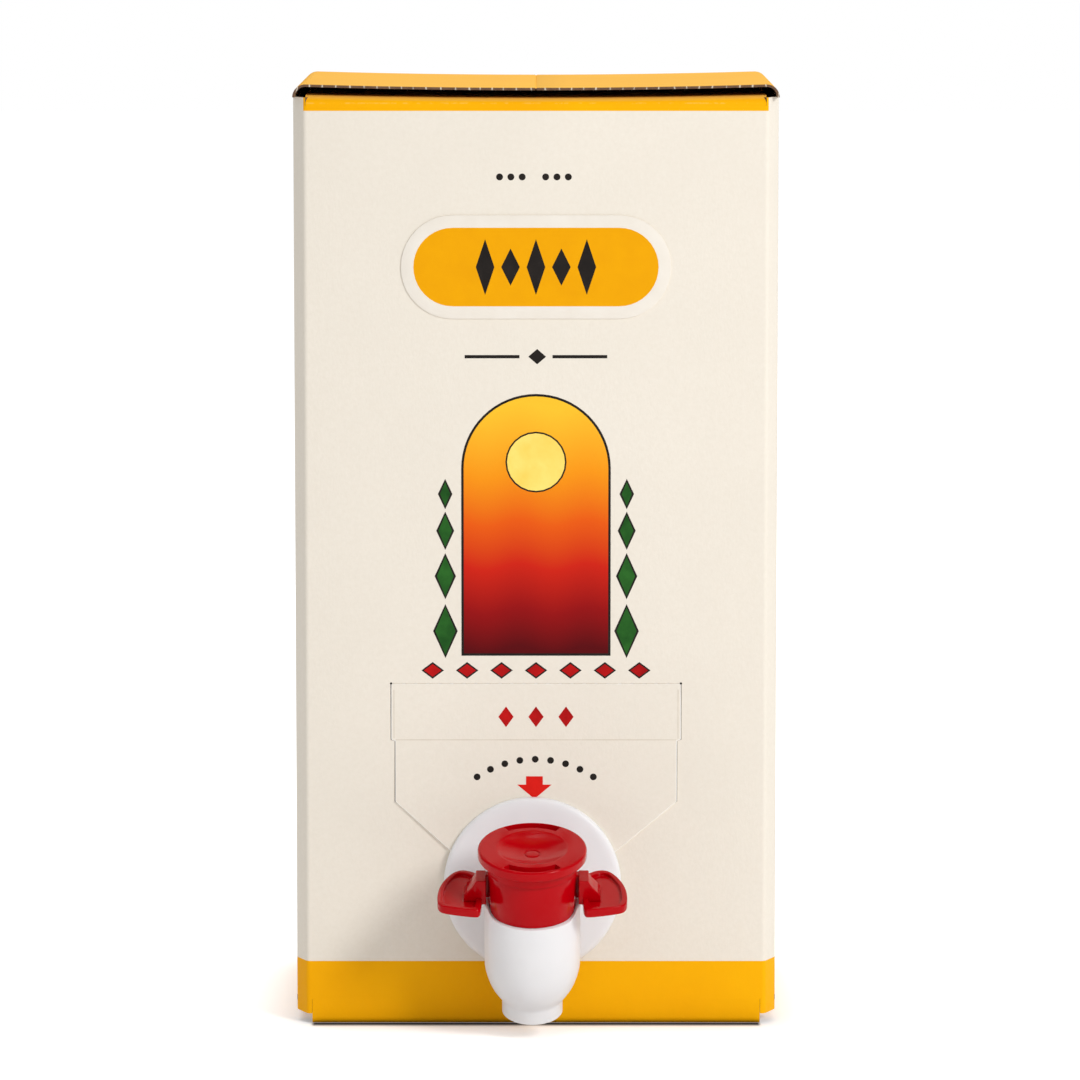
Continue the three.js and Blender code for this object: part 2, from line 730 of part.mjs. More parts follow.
addPiece('carton', carton(), creamBoard);
addPiece('front_label', frontLabel(), labelPaper);
addPiece('liquid_bag', liquidBag(), silverFilm);
addPiece('gland', gland(), naturalPlastic);
addPiece('tap_body', tapBody(), whitePlastic);
addPiece('wing_collar', wingCollar(), redPlastic);
addPiece('thumb_button', thumbButton(), redPlastic.clone());
addPiece('valve_stem', valveStem(), whitePlastic.clone());
addPiece('valve_seal', valveSeal(), greyRubber);
addPiece('return_dome', returnDome(), greyRubber.clone());

export default group;
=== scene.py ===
# %% [markdown]
# # A tall drink box with a push-button tap
# The box is folded from one sheet of thin corrugated board and holds a bag of drink. A white
# plastic tap with a red button stands low on its front. The measured parts are brought in first,
# and every looks piece below is modelled in the same place and size.

# %% Load the measured parts
import math

import bmesh
import bpy
from mathutils import Matrix, Vector


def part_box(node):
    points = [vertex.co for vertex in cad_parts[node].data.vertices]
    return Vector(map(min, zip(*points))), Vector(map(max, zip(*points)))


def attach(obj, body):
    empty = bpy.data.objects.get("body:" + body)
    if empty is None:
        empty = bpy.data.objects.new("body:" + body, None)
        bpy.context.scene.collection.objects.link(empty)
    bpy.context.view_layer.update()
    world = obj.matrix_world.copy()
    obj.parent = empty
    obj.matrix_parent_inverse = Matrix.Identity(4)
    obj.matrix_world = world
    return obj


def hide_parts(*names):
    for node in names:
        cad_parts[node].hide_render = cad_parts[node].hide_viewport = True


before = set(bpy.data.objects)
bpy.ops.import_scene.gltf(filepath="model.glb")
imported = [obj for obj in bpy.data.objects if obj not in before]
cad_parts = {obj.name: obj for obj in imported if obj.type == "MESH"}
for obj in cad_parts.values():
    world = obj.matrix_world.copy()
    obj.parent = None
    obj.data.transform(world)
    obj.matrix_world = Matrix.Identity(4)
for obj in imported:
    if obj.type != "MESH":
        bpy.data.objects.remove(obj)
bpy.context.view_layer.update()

MM = 0.001
carton_low, carton_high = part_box("carton")
print("carton from", tuple(carton_low), "to", tuple(carton_high))

# %% [markdown]
# ## Sizes
# They are written in millimetres, as a box maker would note them down. The heights of the printed
# bands and of the cut flap were read from the photograph, at four pixels a millimetre.

# %% Sizes of the box and of the tap
# The box, the cut that its front corners lose, and the levels where it is folded
HALF_WIDTH, HALF_DEPTH, HEIGHT = 60.25, 42.5, 235.7
BOARD = 1.5
FRONT = -HALF_DEPTH
EDGE_ACROSS, EDGE_DEEP = 2.8, 6.0
FOLD_START, SIDE_TOP, SLEEVE_FOOT = 230.5, 232.5, 6.3
TOP_FOLD_RADIUS, LID_RADIUS, FOOT_RADIUS, BACK_RADIUS = 2.6, 3.2, 1.7, 3.0
FRONT_FLAP_HALF, BOTTOM_FLAP_HALF = 56.95, 56.25
LID_THICK, LID_SAG, LID_INSET, FOLD_DIP = 0.6, 0.85, 0.9, 0.8
FOOT_START, BACK_FOOT_LEVEL, SIDE_FLOOR_LEVEL, SIDE_FLOOR_END = 2.6, 1.8, 3.6, 20.25
# The printed bands, the ink and the sticker
BAND_LOW_TOP, BAND_HIGH_FOOT = 16.0, 229.2
INK = 0.03
LABEL_Z, LABEL_WIDTH, LABEL_HEIGHT, LABEL_THICK = 190.6, 67.0, 25.7, 0.35
LABEL_BORDER = 3.1
# The cut flap: its levels, half its width, how far its sides step in, and how far it stands out
FLAP_TOP, FLAP_CREASE, FLAP_SHOULDER = 86.4, 72.2, 56.6
FLAP_HALF, FLAP_STEP, SLIT = 36.35, 1.0, 0.14
FLAP_FOOT, FLAP_FOOT_LEFT, FLAP_FOOT_RIGHT = 38.2, -15.0, 13.2
FLAP_LEAN = math.radians(-1.1)
# The tap: where its axis stands, how it leans, and the hole for it in the front
TAP_X, TAP_Z, TAP_REACH, NECK_DROP = -0.9, 35.6, 25.2, 2.6
TAP_LEAN = math.radians(18.5)
HOLE_RADIUS = 13.5
print("box:", 2 * HALF_WIDTH, "by", 2 * HALF_DEPTH, "by", HEIGHT, "mm")

# %% [markdown]
# ## A few tools for modelling by hand
# Board is modelled the way that it is made: a thin line is drawn, pushed along the folds, and then
# given its thickness. Moulded pieces that are round start as half a section that is spun about
# its axis. Each tool below does one of these moves with Blender's own operators.


# %% Modelling tools
def deselect():
    if bpy.context.object and bpy.context.object.mode != "OBJECT":
        bpy.ops.object.mode_set(mode="OBJECT")
    bpy.ops.object.select_all(action="DESELECT")


def start_point(name, place):
    """One loose point in edit mode, from which a line is drawn by extruding."""
    deselect()
    bpy.ops.mesh.primitive_plane_add(size=MM)
    piece = bpy.context.object
    piece.name = piece.data.name = name
    bpy.ops.object.mode_set(mode="EDIT")
    bpy.ops.mesh.select_mode(type="VERT")
    bpy.ops.mesh.select_all(action="SELECT")
    bpy.ops.mesh.merge(type="CENTER")
    bpy.ops.transform.translate(value=Vector(place) * MM)
    return piece


def push(step):
    bpy.ops.mesh.extrude_region_move(TRANSFORM_OT_translate={"value": Vector(step) * MM})


def draw_line(points):
    for before, after in zip(points, points[1:]):
        push(Vector(after) - Vector(before))


def spot(axis, u, v, w):
    """A point from its two coordinates in a flat drawing and its place along the axis."""
    return {"x": (w, u, v), "y": (u, w, v), "z": (u, v, w)}[axis]


def modify(piece, kind, **settings):
    deselect()
    piece.select_set(True)
    bpy.context.view_layer.objects.active = piece
    modifier = piece.modifiers.new(kind.lower(), kind)
    for key, value in settings.items():
        setattr(modifier, key, value)
    bpy.ops.object.modifier_apply(modifier=modifier.name)
    return piece


def round_edges(piece, width, segments, sharper_than=30, **settings):
    """Rounds the edges of a piece where its faces meet at more than an angle."""
    return modify(
        piece, "BEVEL", width=width * MM, segments=segments, limit_method="ANGLE",
        angle_limit=math.radians(sharper_than), **settings,
    )


def tidy_surface(piece, smooth_below=35):
    """Joins points that coincide, turns all faces outward and smooths the gentle edges."""
    deselect()
    piece.select_set(True)
    bpy.context.view_layer.objects.active = piece
    bpy.ops.object.mode_set(mode="EDIT")
    bpy.ops.mesh.select_all(action="SELECT")
    bpy.ops.mesh.remove_doubles(threshold=0.002 * MM)
    bpy.ops.mesh.normals_make_consistent(inside=False)
    bpy.ops.object.mode_set(mode="OBJECT")
    bpy.ops.object.shade_smooth_by_angle(angle=math.radians(smooth_below))
    return piece


def plate(name, outline, axis, start, end):
    """A flat shape drawn point by point, filled and pushed to its thickness."""
    corners = [spot(axis, u, v, start) for u, v in outline]
    piece = start_point(name, corners[0])
    draw_line(corners)
    bpy.ops.mesh.select_all(action="SELECT")
    bpy.ops.mesh.edge_face_add()
    push(spot(axis, 0, 0, end - start))
    bpy.ops.mesh.select_all(action="SELECT")
    bpy.ops.mesh.normals_make_consistent(inside=False)
    bpy.ops.object.mode_set(mode="OBJECT")
    return piece


def folded_sheet(name, path, axis, start, end, outward, steps=1, closed=False, thick=BOARD):
    """A line across the sheet is pushed along its folds, and the sheet then gets its thickness."""
    first = spot(axis, *path[0], start)
    piece = start_point(name, first)
    for _ in range(steps):
        push(Vector(spot(axis, 0, 0, (end - start) / steps)))
    bpy.ops.mesh.select_all(action="SELECT")
    draw_line([spot(axis, u, v, start) for u, v in path])
    bpy.ops.mesh.select_all(action="SELECT")
    bpy.ops.mesh.remove_doubles(threshold=0.01 * MM)
    bpy.ops.mesh.normals_make_consistent(inside=False)
    if not closed:
        sheet = bmesh.from_edit_mesh(piece.data)
        sheet.faces.ensure_lookup_table()
        if sheet.faces[0].normal.dot(Vector(outward)) < 0:
            bpy.ops.mesh.flip_normals()
    bpy.ops.object.mode_set(mode="OBJECT")
    wrap(piece, outside_print, cut_edge, plain_inside)
    modify(
        piece, "SOLIDIFY", thickness=thick * MM, offset=-1, use_even_offset=True,
        material_offset=2, material_offset_rim=1,
    )
    return tidy_surface(piece)


def arc(cx, cy, radius, start, end, steps):
    angles = [math.radians(start + (end - start) * i / steps) for i in range(steps + 1)]
    return [(cx + radius * math.cos(a), cy + radius * math.sin(a)) for a in angles]


def spun(name, profile, steps=96):
    """Half a section, drawn as radius and height, is spun all the way round the upright axis."""
    corners = [(r, 0, h) for r, h in profile]
    piece = start_point(name, corners[0])
    draw_line(corners)
    bpy.ops.mesh.select_all(action="SELECT")
    bpy.ops.mesh.spin(steps=steps, angle=math.tau, center=(0, 0, 0), axis=(0, 0, 1))
    bpy.ops.object.mode_set(mode="OBJECT")
    return tidy_surface(piece)


def copy_of(piece, name):
    twin = piece.copy()
    twin.data = piece.data.copy()
    twin.name = twin.data.name = name
    bpy.context.scene.collection.objects.link(twin)
    return twin


def reshape(piece, matrix):
    """Moves, turns or mirrors the points of a piece and leaves its own axes where they are."""
    piece.data.transform(matrix)
    piece.data.update()
    return piece


def mirror_across(piece, name):
    twin = reshape(copy_of(piece, name), Matrix.Scale(-1, 4, (1, 0, 0)))
    return tidy_surface(twin)


def wrap(piece, *finishes):
    for finish in finishes:
        piece.data.materials.append(finish)


def repaint(piece, finish):
    piece.data.materials.clear()
    piece.data.materials.append(finish)


def open_faces(piece):
    """Goes into edit mode with no face picked, and gives the mesh that faces are picked in."""
    deselect()
    piece.select_set(True)
    bpy.context.view_layer.objects.active = piece
    bpy.ops.object.mode_set(mode="EDIT")
    bpy.ops.mesh.select_mode(type="FACE")
    bpy.ops.mesh.select_all(action="DESELECT")
    return bmesh.from_edit_mesh(piece.data)


def joined(name, pieces):
    deselect()
    for one in pieces:
        one.select_set(True)
    bpy.context.view_layer.objects.active = pieces[0]
    bpy.ops.object.join()
    pieces[0].name = pieces[0].data.name = name
    return pieces[0]


def cut_away(piece, cutter):
    modify(piece, "BOOLEAN", operation="DIFFERENCE", solver="EXACT", object=cutter)
    bpy.data.objects.remove(cutter, do_unlink=True)
    return piece


def onto_tap(piece):
    """Places a piece that was made round the upright axis where the leaning tap stands."""
    place = Vector((TAP_X, FRONT - TAP_REACH, TAP_Z)) * MM
    return reshape(piece, Matrix.Translation(place) @ Matrix.Rotation(TAP_LEAN, 4, "X"))


# %% [markdown]
# ## Finishes
# Colours are noted as they look on screen, from 0 to 255, and turned into the light values that
# Blender works with. Every finish then gets what tells it apart up close: fibres and a faint
# washboard on the board, brown waves on its cut edges, fine mould texture on the plastic.


# %% Tools for finishes
def paint(red, green, blue):
    def light(value):
        share = value / 255
        return share / 12.92 if share <= 0.04045 else ((share + 0.055) / 1.055) ** 2.4

    return (light(red), light(green), light(blue), 1.0)


class Finish:
    """A material that is put together one node at a time."""

    def __init__(self, name, roughness):
        self.material = bpy.data.materials.new(name)
        self.material.use_nodes = True
        self.tree = self.material.node_tree
        self.shader = self.tree.nodes["Principled BSDF"]
        self.shader.inputs["Roughness"].default_value = roughness
        place = self.tree.nodes.new("ShaderNodeTexCoord")
        self.place = place.outputs["Object"]

    def node(self, kind, *wires, **settings):
        made = self.tree.nodes.new("ShaderNode" + kind)
        for key, value in settings.items():
            setattr(made, key, value)
        for socket, value in wires:
            target = made.inputs[socket]
            if isinstance(value, bpy.types.NodeSocket):
                self.tree.links.new(value, target)
            else:
                target.default_value = value
        return made

    def sum(self, operation, *values):
        wires = [(i, value) for i, value in enumerate(values)]
        return self.node("Math", *wires, operation=operation).outputs[0]

    def noise(self, scale, detail=3.0, rough=0.5, stretch=(1, 1, 1)):
        where = self.node("Mapping", ("Vector", self.place), ("Scale", stretch)).outputs[0]
        wires = [("Vector", where), ("Scale", scale), ("Detail", detail), ("Roughness", rough)]
        return self.node("TexNoise", *wires).outputs["Fac"]

    def between(self, share, one, other):
        wires = [("Factor", share), ("A", one), ("B", other)]
        made = self.node("Mix", data_type="RGBA")
        sockets = {"Factor": 0, "A": 6, "B": 7}
        for name, value in wires:
            target = made.inputs[sockets[name]]
            if isinstance(value, bpy.types.NodeSocket):
                self.tree.links.new(value, target)
            else:
                target.default_value = value
        return made.outputs[2]

    def spread(self, value, low, high, to_low, to_high):
        wires = [(0, value), (1, low), (2, high), (3, to_low), (4, to_high)]
        return self.node("MapRange", *wires).outputs[0]

    def colour(self, value):
        if isinstance(value, bpy.types.NodeSocket):
            self.tree.links.new(value, self.shader.inputs["Base Color"])
        else:
            self.shader.inputs["Base Color"].default_value = value

    def rough(self, value):
        self.tree.links.new(value, self.shader.inputs["Roughness"])

    def relief(self, height, depth, strength=1.0):
        wires = [("Height", height), ("Distance", depth), ("Strength", strength)]
        bump = self.node("Bump", *wires)
        self.tree.links.new(bump.outputs[0], self.shader.inputs["Normal"])

    def set(self, **values):
        for key, value in values.items():
            self.shader.inputs[key.replace("_", " ")].default_value = value


FLUTE_PITCH, EDGE_TICK_PITCH = 3.4 * MM, 3.2 * MM
PAPER_SHINE = 0.08


def board_surface(finish):
    """The faint washboard of the flutes and the fibres of the paper, as one height."""
    across = finish.node("SeparateXYZ", ("Vector", finish.place))
    flutes = finish.sum("SINE", finish.sum("MULTIPLY", across.outputs[0], math.tau / FLUTE_PITCH))
    fibres = finish.noise(1500, 4, 0.65, (1, 1, 0.6))
    soft = finish.noise(55, 2)
    height = finish.sum("ADD", finish.sum("MULTIPLY", flutes, 0.035), fibres)
    return finish.sum("ADD", height, finish.sum("MULTIPLY", soft, 1.4))


def printed_board():
    """Cream paper with the yellow bands at the foot, along the top fold and over the lid."""
    finish = Finish("printed_board", 0.62)
    # Wide clouds and fine specks keep the paper and the ink from looking flat
    clouds = finish.spread(finish.noise(22, 4, 0.6), 0.3, 0.7, 0.0, 1.0)
    specks = finish.spread(finish.noise(900, 5, 0.7), 0.35, 0.65, 0.0, 1.0)
    cream = finish.between(clouds, paint(235, 227, 214), paint(239, 231, 218))
    cream = finish.between(finish.sum("MULTIPLY", specks, 0.35), cream, paint(229, 220, 205))
    yellow = finish.between(clouds, paint(247, 172, 0), paint(252, 182, 0))
    # Where the yellow is printed
    x, y, z = finish.node("SeparateXYZ", ("Vector", finish.place)).outputs
    low_band = finish.sum("LESS_THAN", z, BAND_LOW_TOP * MM)
    high = finish.sum("GREATER_THAN", z, BAND_HIGH_FOOT * MM)
    front = finish.sum("LESS_THAN", finish.sum("ABSOLUTE", x), (HALF_WIDTH - EDGE_ACROSS + 0.05) * MM)
    lid = finish.sum("GREATER_THAN", z, (SIDE_TOP + 0.9) * MM)
    high_band = finish.sum("MAXIMUM", finish.sum("MULTIPLY", high, front), lid)
    printed = finish.sum("MAXIMUM", low_band, high_band)
    # The yellow is painted paler where it faces up, a painted sheen of the light from above, and rubbed
    # along the fold
    facing = finish.node("NewGeometry").outputs["Normal"]
    upward = finish.node("SeparateXYZ", ("Vector", facing)).outputs[2]
    sheen = finish.spread(upward, 0.6, 0.95, 0.0, 0.6)
    yellow = finish.between(sheen, yellow, paint(254, 200, 100))
    from_fold = finish.sum("ABSOLUTE", finish.sum("SUBTRACT", z, (FOLD_START + 0.6) * MM))
    worn = finish.sum("MULTIPLY", finish.spread(from_fold, 0.0001, 0.00025, 1.0, 0.0), front)
    patches = finish.spread(finish.noise(500, 4, 0.7), 0.5, 0.6, 0.0, 0.22)
    worn = finish.sum("MULTIPLY", worn, patches)
    yellow = finish.between(worn, yellow, paint(255, 216, 120))
    finish.colour(finish.between(printed, cream, yellow))
    finish.rough(finish.spread(specks, 0, 1, 0.52, 0.68))
    finish.set(Specular_IOR_Level=PAPER_SHINE)
    finish.relief(board_surface(finish), 0.00008, 0.6)
    return finish.material


def flute_edge():
    """The cut edge: brown, with a pale tick wherever a flute's paper meets it."""
    finish = Finish("cut_board_edge", 0.85)
    x, y, z = finish.node("SeparateXYZ", ("Vector", finish.place)).outputs
    along = finish.sum("ADD", x, y)
    wander = finish.sum("MULTIPLY", finish.noise(90, 2), 0.004)
    turns = finish.sum("MULTIPLY", finish.sum("ADD", along, wander), math.tau / EDGE_TICK_PITCH)
    wave = finish.sum("SINE", turns)
    ragged = finish.noise(700, 4, 0.7)
    rough_wave = finish.sum("ADD", wave, finish.sum("MULTIPLY", ragged, 0.3))
    tick = finish.spread(rough_wave, 1.07, 1.15, 0.0, 0.8)
    brown = finish.between(ragged, paint(70, 46, 32), paint(132, 98, 72))
    finish.colour(finish.between(tick, brown, paint(224, 214, 196)))
    finish.relief(ragged, 0.0002, 0.8)
    return finish.material


def bare_board():
    """The unprinted inside of the board."""
    finish = Finish("bare_board", 0.88)
    mottle = finish.spread(finish.noise(260, 5, 0.7), 0.3, 0.7, 0.0, 1.0)
    finish.colour(finish.between(mottle, paint(168, 130, 88), paint(190, 152, 108)))
    finish.relief(board_surface(finish), 0.00008, 0.7)
    return finish.material


outside_print = printed_board()
cut_edge = flute_edge()
plain_inside = bare_board()


def paper_print(name, colour, darker, roughness=0.55):
    """Printing ink on paper: almost flat, with a slight unevenness and the fibres under it."""
    finish = Finish(name, roughness)
    uneven = finish.spread(finish.noise(160, 4, 0.6), 0.35, 0.7, 0.0, 1.0)
    finish.colour(finish.between(uneven, colour, darker))
    finish.relief(finish.noise(1500, 4, 0.65), 0.00004, 0.5)
    finish.set(Specular_IOR_Level=PAPER_SHINE)
    return finish.material


ink_black = paper_print("ink_black", paint(34, 30, 28), paint(44, 39, 36))
ink_red = paper_print("ink_red", paint(226, 32, 24), paint(212, 26, 20))
ink_dot_red = paper_print("ink_dark_red", paint(196, 22, 22), paint(150, 12, 16))
ink_green = paper_print("ink_green", paint(46, 104, 40), paint(28, 74, 28))
ink_sun = paper_print("ink_sun", paint(255, 228, 120), paint(253, 214, 96))
# A darker cream, painted shade in the pressed grooves of the creases
crease_shade_paint = paper_print("crease_shade_paint", paint(221, 211, 195), paint(212, 200, 182), 0.7)
# White paper for the flap's cut edge, paler than the front's cream: partly the paper's own colour,
# partly a painted highlight along the edge
torn_paper = paper_print("torn_paper", paint(252, 249, 243), paint(244, 239, 230), 0.8)
label_white = paper_print("label_white", paint(239, 232, 221), paint(235, 227, 215), 0.5)
label_yellow = paper_print("label_yellow", paint(241, 168, 0), paint(237, 163, 0), 0.5)


SUNSET_LOW, SUNSET_HIGH = 95 * MM, 156 * MM


def sunset_ink():
    """Bands of ink from yellow down to dark red, with gentle waves where they meet."""
    finish = Finish("ink_sunset", 0.55)
    x, y, z = finish.node("SeparateXYZ", ("Vector", finish.place)).outputs
    ripple = finish.sum("SINE", finish.sum("MULTIPLY", x, math.tau / 0.017))
    height = finish.sum("ADD", z, finish.sum("MULTIPLY", ripple, 0.0009))
    share = finish.spread(height, SUNSET_LOW, SUNSET_HIGH, 0.0, 1.0)
    ramp = finish.node("ValToRGB", (0, share))
    steps = ramp.color_ramp.elements
    stops = [
        (0.0, paint(92, 10, 16)), (0.16, paint(150, 16, 18)), (0.34, paint(206, 36, 20)),
        (0.52, paint(232, 92, 18)), (0.72, paint(246, 150, 22)), (1.0, paint(252, 196, 48)),
    ]
    steps[0].position, steps[0].color = stops[0]
    steps[1].position, steps[1].color = stops[-1]
    for position, colour in stops[1:-1]:
        steps.new(position).color = colour
    finish.colour(ramp.outputs[0])
    finish.relief(finish.noise(1500, 4, 0.65), 0.00004, 0.5)
    finish.set(Specular_IOR_Level=PAPER_SHINE)
    return finish.material


ink_sunset = sunset_ink()


def moulded_plastic(name, colour, shade, roughness, through=0.0, shine=0.4):
    """Plastic from a mould: a faint flow of two shades, a fine grain and a little light let through."""
    finish = Finish(name, roughness)
    noise = finish.noise(60, 3, 0.5)
    flow = finish.spread(noise, 0.3, 0.7, 0.0, 1.0)
    finish.colour(finish.between(flow, colour, shade))
    finish.rough(finish.spread(noise, 0.3, 0.7, roughness - 0.02, roughness + 0.03))
    finish.relief(finish.noise(700, 2, 0.4), 0.00001, 0.25)
    finish.set(Subsurface_Weight=through, Specular_IOR_Level=shine)
    finish.set(Subsurface_Radius=(1.0, 0.95, 0.9), Subsurface_Scale=2 * MM)
    return finish.material


white_plastic = moulded_plastic(
    "white_plastic", paint(238, 237, 238), paint(233, 232, 233), 0.38, through=0.25
)
red_plastic = moulded_plastic("red_plastic", paint(186, 0, 12), paint(179, 0, 10), 0.15, shine=0.15)
natural_plastic = moulded_plastic(
    "natural_plastic", paint(214, 214, 208), paint(204, 204, 198), 0.5, through=0.2
)
grey_rubber = moulded_plastic("grey_rubber", paint(108, 110, 112), paint(92, 94, 96), 0.75)
silver_film = moulded_plastic("silver_film", paint(200, 203, 207), paint(180, 184, 190), 0.35)
print("finishes:", len(bpy.data.materials))

# %% [markdown]
# ## The carton
# It is cut and creased flat, wrapped round to a sleeve, and its flaps are folded in and glued. So
# every panel here is a sheet pushed along its folds: the sleeve, the rolled top edges, the two
# lid flaps that rise from the sides and sag a little where they meet, and the bottom flaps.


# %% The sleeve and its folds
def softened(points, radius, steps=4):
    """Rounds every inner corner of a line with a small curve."""
    result = [points[0]]
    for before, corner, after in zip(points, points[1:], points[2:]):
        corner_at = Vector(corner)
        to_before = (Vector(before) - corner_at).normalized()
        to_after = (Vector(after) - corner_at).normalized()
        for i in range(steps + 1):
            share = i / steps
            curve = corner_at + to_before * radius * (1 - share) ** 2 + to_after * radius * share**2
            result.append(tuple(curve))
    result.append(points[-1])
    return result


def half_plan():
    """The right half of the sleeve seen from above, from the front's middle to the back's."""
    edge = [
        (0, FRONT), (HALF_WIDTH - EDGE_ACROSS, FRONT), (HALF_WIDTH, FRONT + EDGE_DEEP),
        (HALF_WIDTH, HALF_DEPTH - BACK_RADIUS - 0.5),
    ]
    corner = arc(HALF_WIDTH - BACK_RADIUS, HALF_DEPTH - BACK_RADIUS, BACK_RADIUS, 0, 90, 6)
    return softened(edge, 0.9) + corner + [(0, HALF_DEPTH)]


right_plan = half_plan()
left_plan = [(-x, y) for x, y in reversed(right_plan)]
sleeve = folded_sheet(
    "sleeve", right_plan + left_plan[1:], "z", SLEEVE_FOOT, FOLD_START, (0, -1, 0), closed=True
)

edge_plan = [p for p in right_plan if p[0] > HALF_WIDTH - EDGE_ACROSS - 1.2]
shoulder_start = FRONT_FLAP_HALF + 0.06
shoulder_plan = [(shoulder_start, FRONT)] + [p for p in edge_plan if p[0] > shoulder_start + 0.1]
right_shoulder = folded_sheet(
    "right_shoulder", shoulder_plan + [(shoulder_start, HALF_DEPTH)],
    "z", FOLD_START, SIDE_TOP, (0, -1, 0),
)
foot_start = BOTTOM_FLAP_HALF + 0.06
foot_plan = [(foot_start, FRONT)] + [
    p for p in edge_plan if p[0] > foot_start + 0.1 and p[1] < FRONT + EDGE_DEEP + 0.6
]
right_foot = folded_sheet("right_foot", foot_plan, "z", FOOT_START, SLEEVE_FOOT, (0, -1, 0))

fold = arc(FRONT + TOP_FOLD_RADIUS, FOLD_START, TOP_FOLD_RADIUS, 180, 90, 8)
inner_level = FOLD_START + TOP_FOLD_RADIUS
front_fold = folded_sheet(
    "front_fold", fold + [(FRONT + 12, inner_level), (-3, inner_level)],
    "x", -FRONT_FLAP_HALF, FRONT_FLAP_HALF, (0, -1, 0), steps=16,
)
back_fold = reshape(copy_of(front_fold, "back_fold"), Matrix.Scale(-1, 4, (0, 1, 0)))
tidy_surface(back_fold)


def lid_path(sag):
    """The right lid flap from the side's edge to the middle, where it dips into the seam."""
    side = arc(HALF_WIDTH - LID_RADIUS, SIDE_TOP, LID_RADIUS, 0, 90, 8)
    reach = HALF_WIDTH - LID_RADIUS
    top = [(reach * t, HEIGHT - sag * (1 - t * t)) for t in (0.85, 0.7, 0.5, 0.3, 0.15)]
    return side + top + [(0.3, HEIGHT - sag), (0, HEIGHT - sag - 0.2)]


right_lid = folded_sheet(
    "right_lid", lid_path(LID_SAG), "y", FRONT + LID_INSET, HALF_DEPTH - LID_INSET, (1, 0, 0),
    steps=6, thick=LID_THICK,
)
bottom_run = [(FRONT, SLEEVE_FOOT)] + arc(FRONT + FOOT_RADIUS, FOOT_RADIUS, FOOT_RADIUS, 180, 270, 6)
front_foot = folded_sheet(
    "front_foot", bottom_run + [(HALF_DEPTH - BOARD, 0)],
    "x", -BOTTOM_FLAP_HALF, BOTTOM_FLAP_HALF, (0, -1, 0),
)


def turned_under(side, level, end):
    """The line of a bottom flap that folds in under a panel and lies at its own level."""
    bend = arc(side - FOOT_RADIUS, level + FOOT_RADIUS, FOOT_RADIUS, 0, -90, 6)
    return [(side, SLEEVE_FOOT)] + bend + [(end, level)]


back_foot = folded_sheet(
    "back_foot", turned_under(HALF_DEPTH, BACK_FOOT_LEVEL, 2.5),
    "x", -BOTTOM_FLAP_HALF, BOTTOM_FLAP_HALF, (0, 1, 0),
)
right_floor = folded_sheet(
    "right_floor", turned_under(HALF_WIDTH, SIDE_FLOOR_LEVEL, SIDE_FLOOR_END),
    "y", FRONT + EDGE_DEEP, HALF_DEPTH - BACK_RADIUS, (1, 0, 0),
)
paired = [right_shoulder, right_foot, right_lid, right_floor]
mirrored = [mirror_across(one, one.name.replace("right", "left")) for one in paired]

# %% [markdown]
# ## The dip of the folded edges
# A folded box is never quite flat. Its rolled front and back edges dip a little in the middle, as
# the lid does over them, so their points are lowered there.


# %% The dip along the front and back edges
def press_down(piece, depth):
    """Lowers the folded edge most in its middle, and not at all where the panel starts."""
    for point in piece.data.vertices:
        share = max(0.0, 1 - (point.co.x / (HALF_WIDTH * MM)) ** 2)
        above = max(0.0, min(1.0, (point.co.z / MM - FOLD_START) / TOP_FOLD_RADIUS))
        point.co.z -= depth * MM * share * above
    piece.data.update()


for one in (front_fold, back_fold):
    press_down(one, FOLD_DIP)
print("sheets of the carton so far:", 5 + len(mirrored) + len(paired))

# %% [markdown]
# ## The cut flap
# A flap is cut in the front panel and closes over the tap until the box is opened. Its sides are
# cut through, its top is only creased, and its lower point goes behind the tap's round flange. It
# stands out a little at its foot, so a thin shadow shows under it; its cut edge is white paper,
# painted paler than the front as a painted highlight along the edge.


# %% Cut the opening and make the flap
def flap_outline(inset):
    """From the top right corner down, round the top of the tap's hole, and up the left side."""
    wide, narrow = FLAP_HALF - inset, FLAP_HALF - FLAP_STEP - inset
    step = [(wide, FLAP_CREASE), (narrow, FLAP_CREASE - 0.3)]
    right = [(wide, FLAP_TOP)] + step + [(narrow, FLAP_SHOULDER)]
    meet = [(FLAP_FOOT_RIGHT - inset, FLAP_FOOT), (FLAP_FOOT_LEFT + inset, FLAP_FOOT)]
    hole = arc(TAP_X, TAP_Z, HOLE_RADIUS, 12, 168, 16)
    left = [(-x, z) for x, z in reversed(right)]
    return right + [meet[0]] + hole + [meet[1]] + left


def opening_outline():
    """The flap's edge, and the whole of the tap's hole below it."""
    outline = flap_outline(0)
    top_side = outline[:4] + outline[-4:]
    around = arc(TAP_X, TAP_Z, HOLE_RADIUS, 14, -194, 22)
    return top_side[:4] + around + top_side[4:]


PRINTED, CUT, PLAIN, PALE_EDGE = 0, 1, 2, 3
opening = plate("opening", opening_outline(), "y", FRONT - 2, FRONT + 4)
wrap(opening, outside_print, cut_edge, plain_inside)
for face in opening.data.polygons:
    face.material_index = CUT
cut_away(sleeve, opening)

cut_flap = plate("cut_flap", flap_outline(SLIT), "y", FRONT, FRONT + BOARD)
wrap(cut_flap, outside_print, cut_edge, plain_inside, torn_paper)
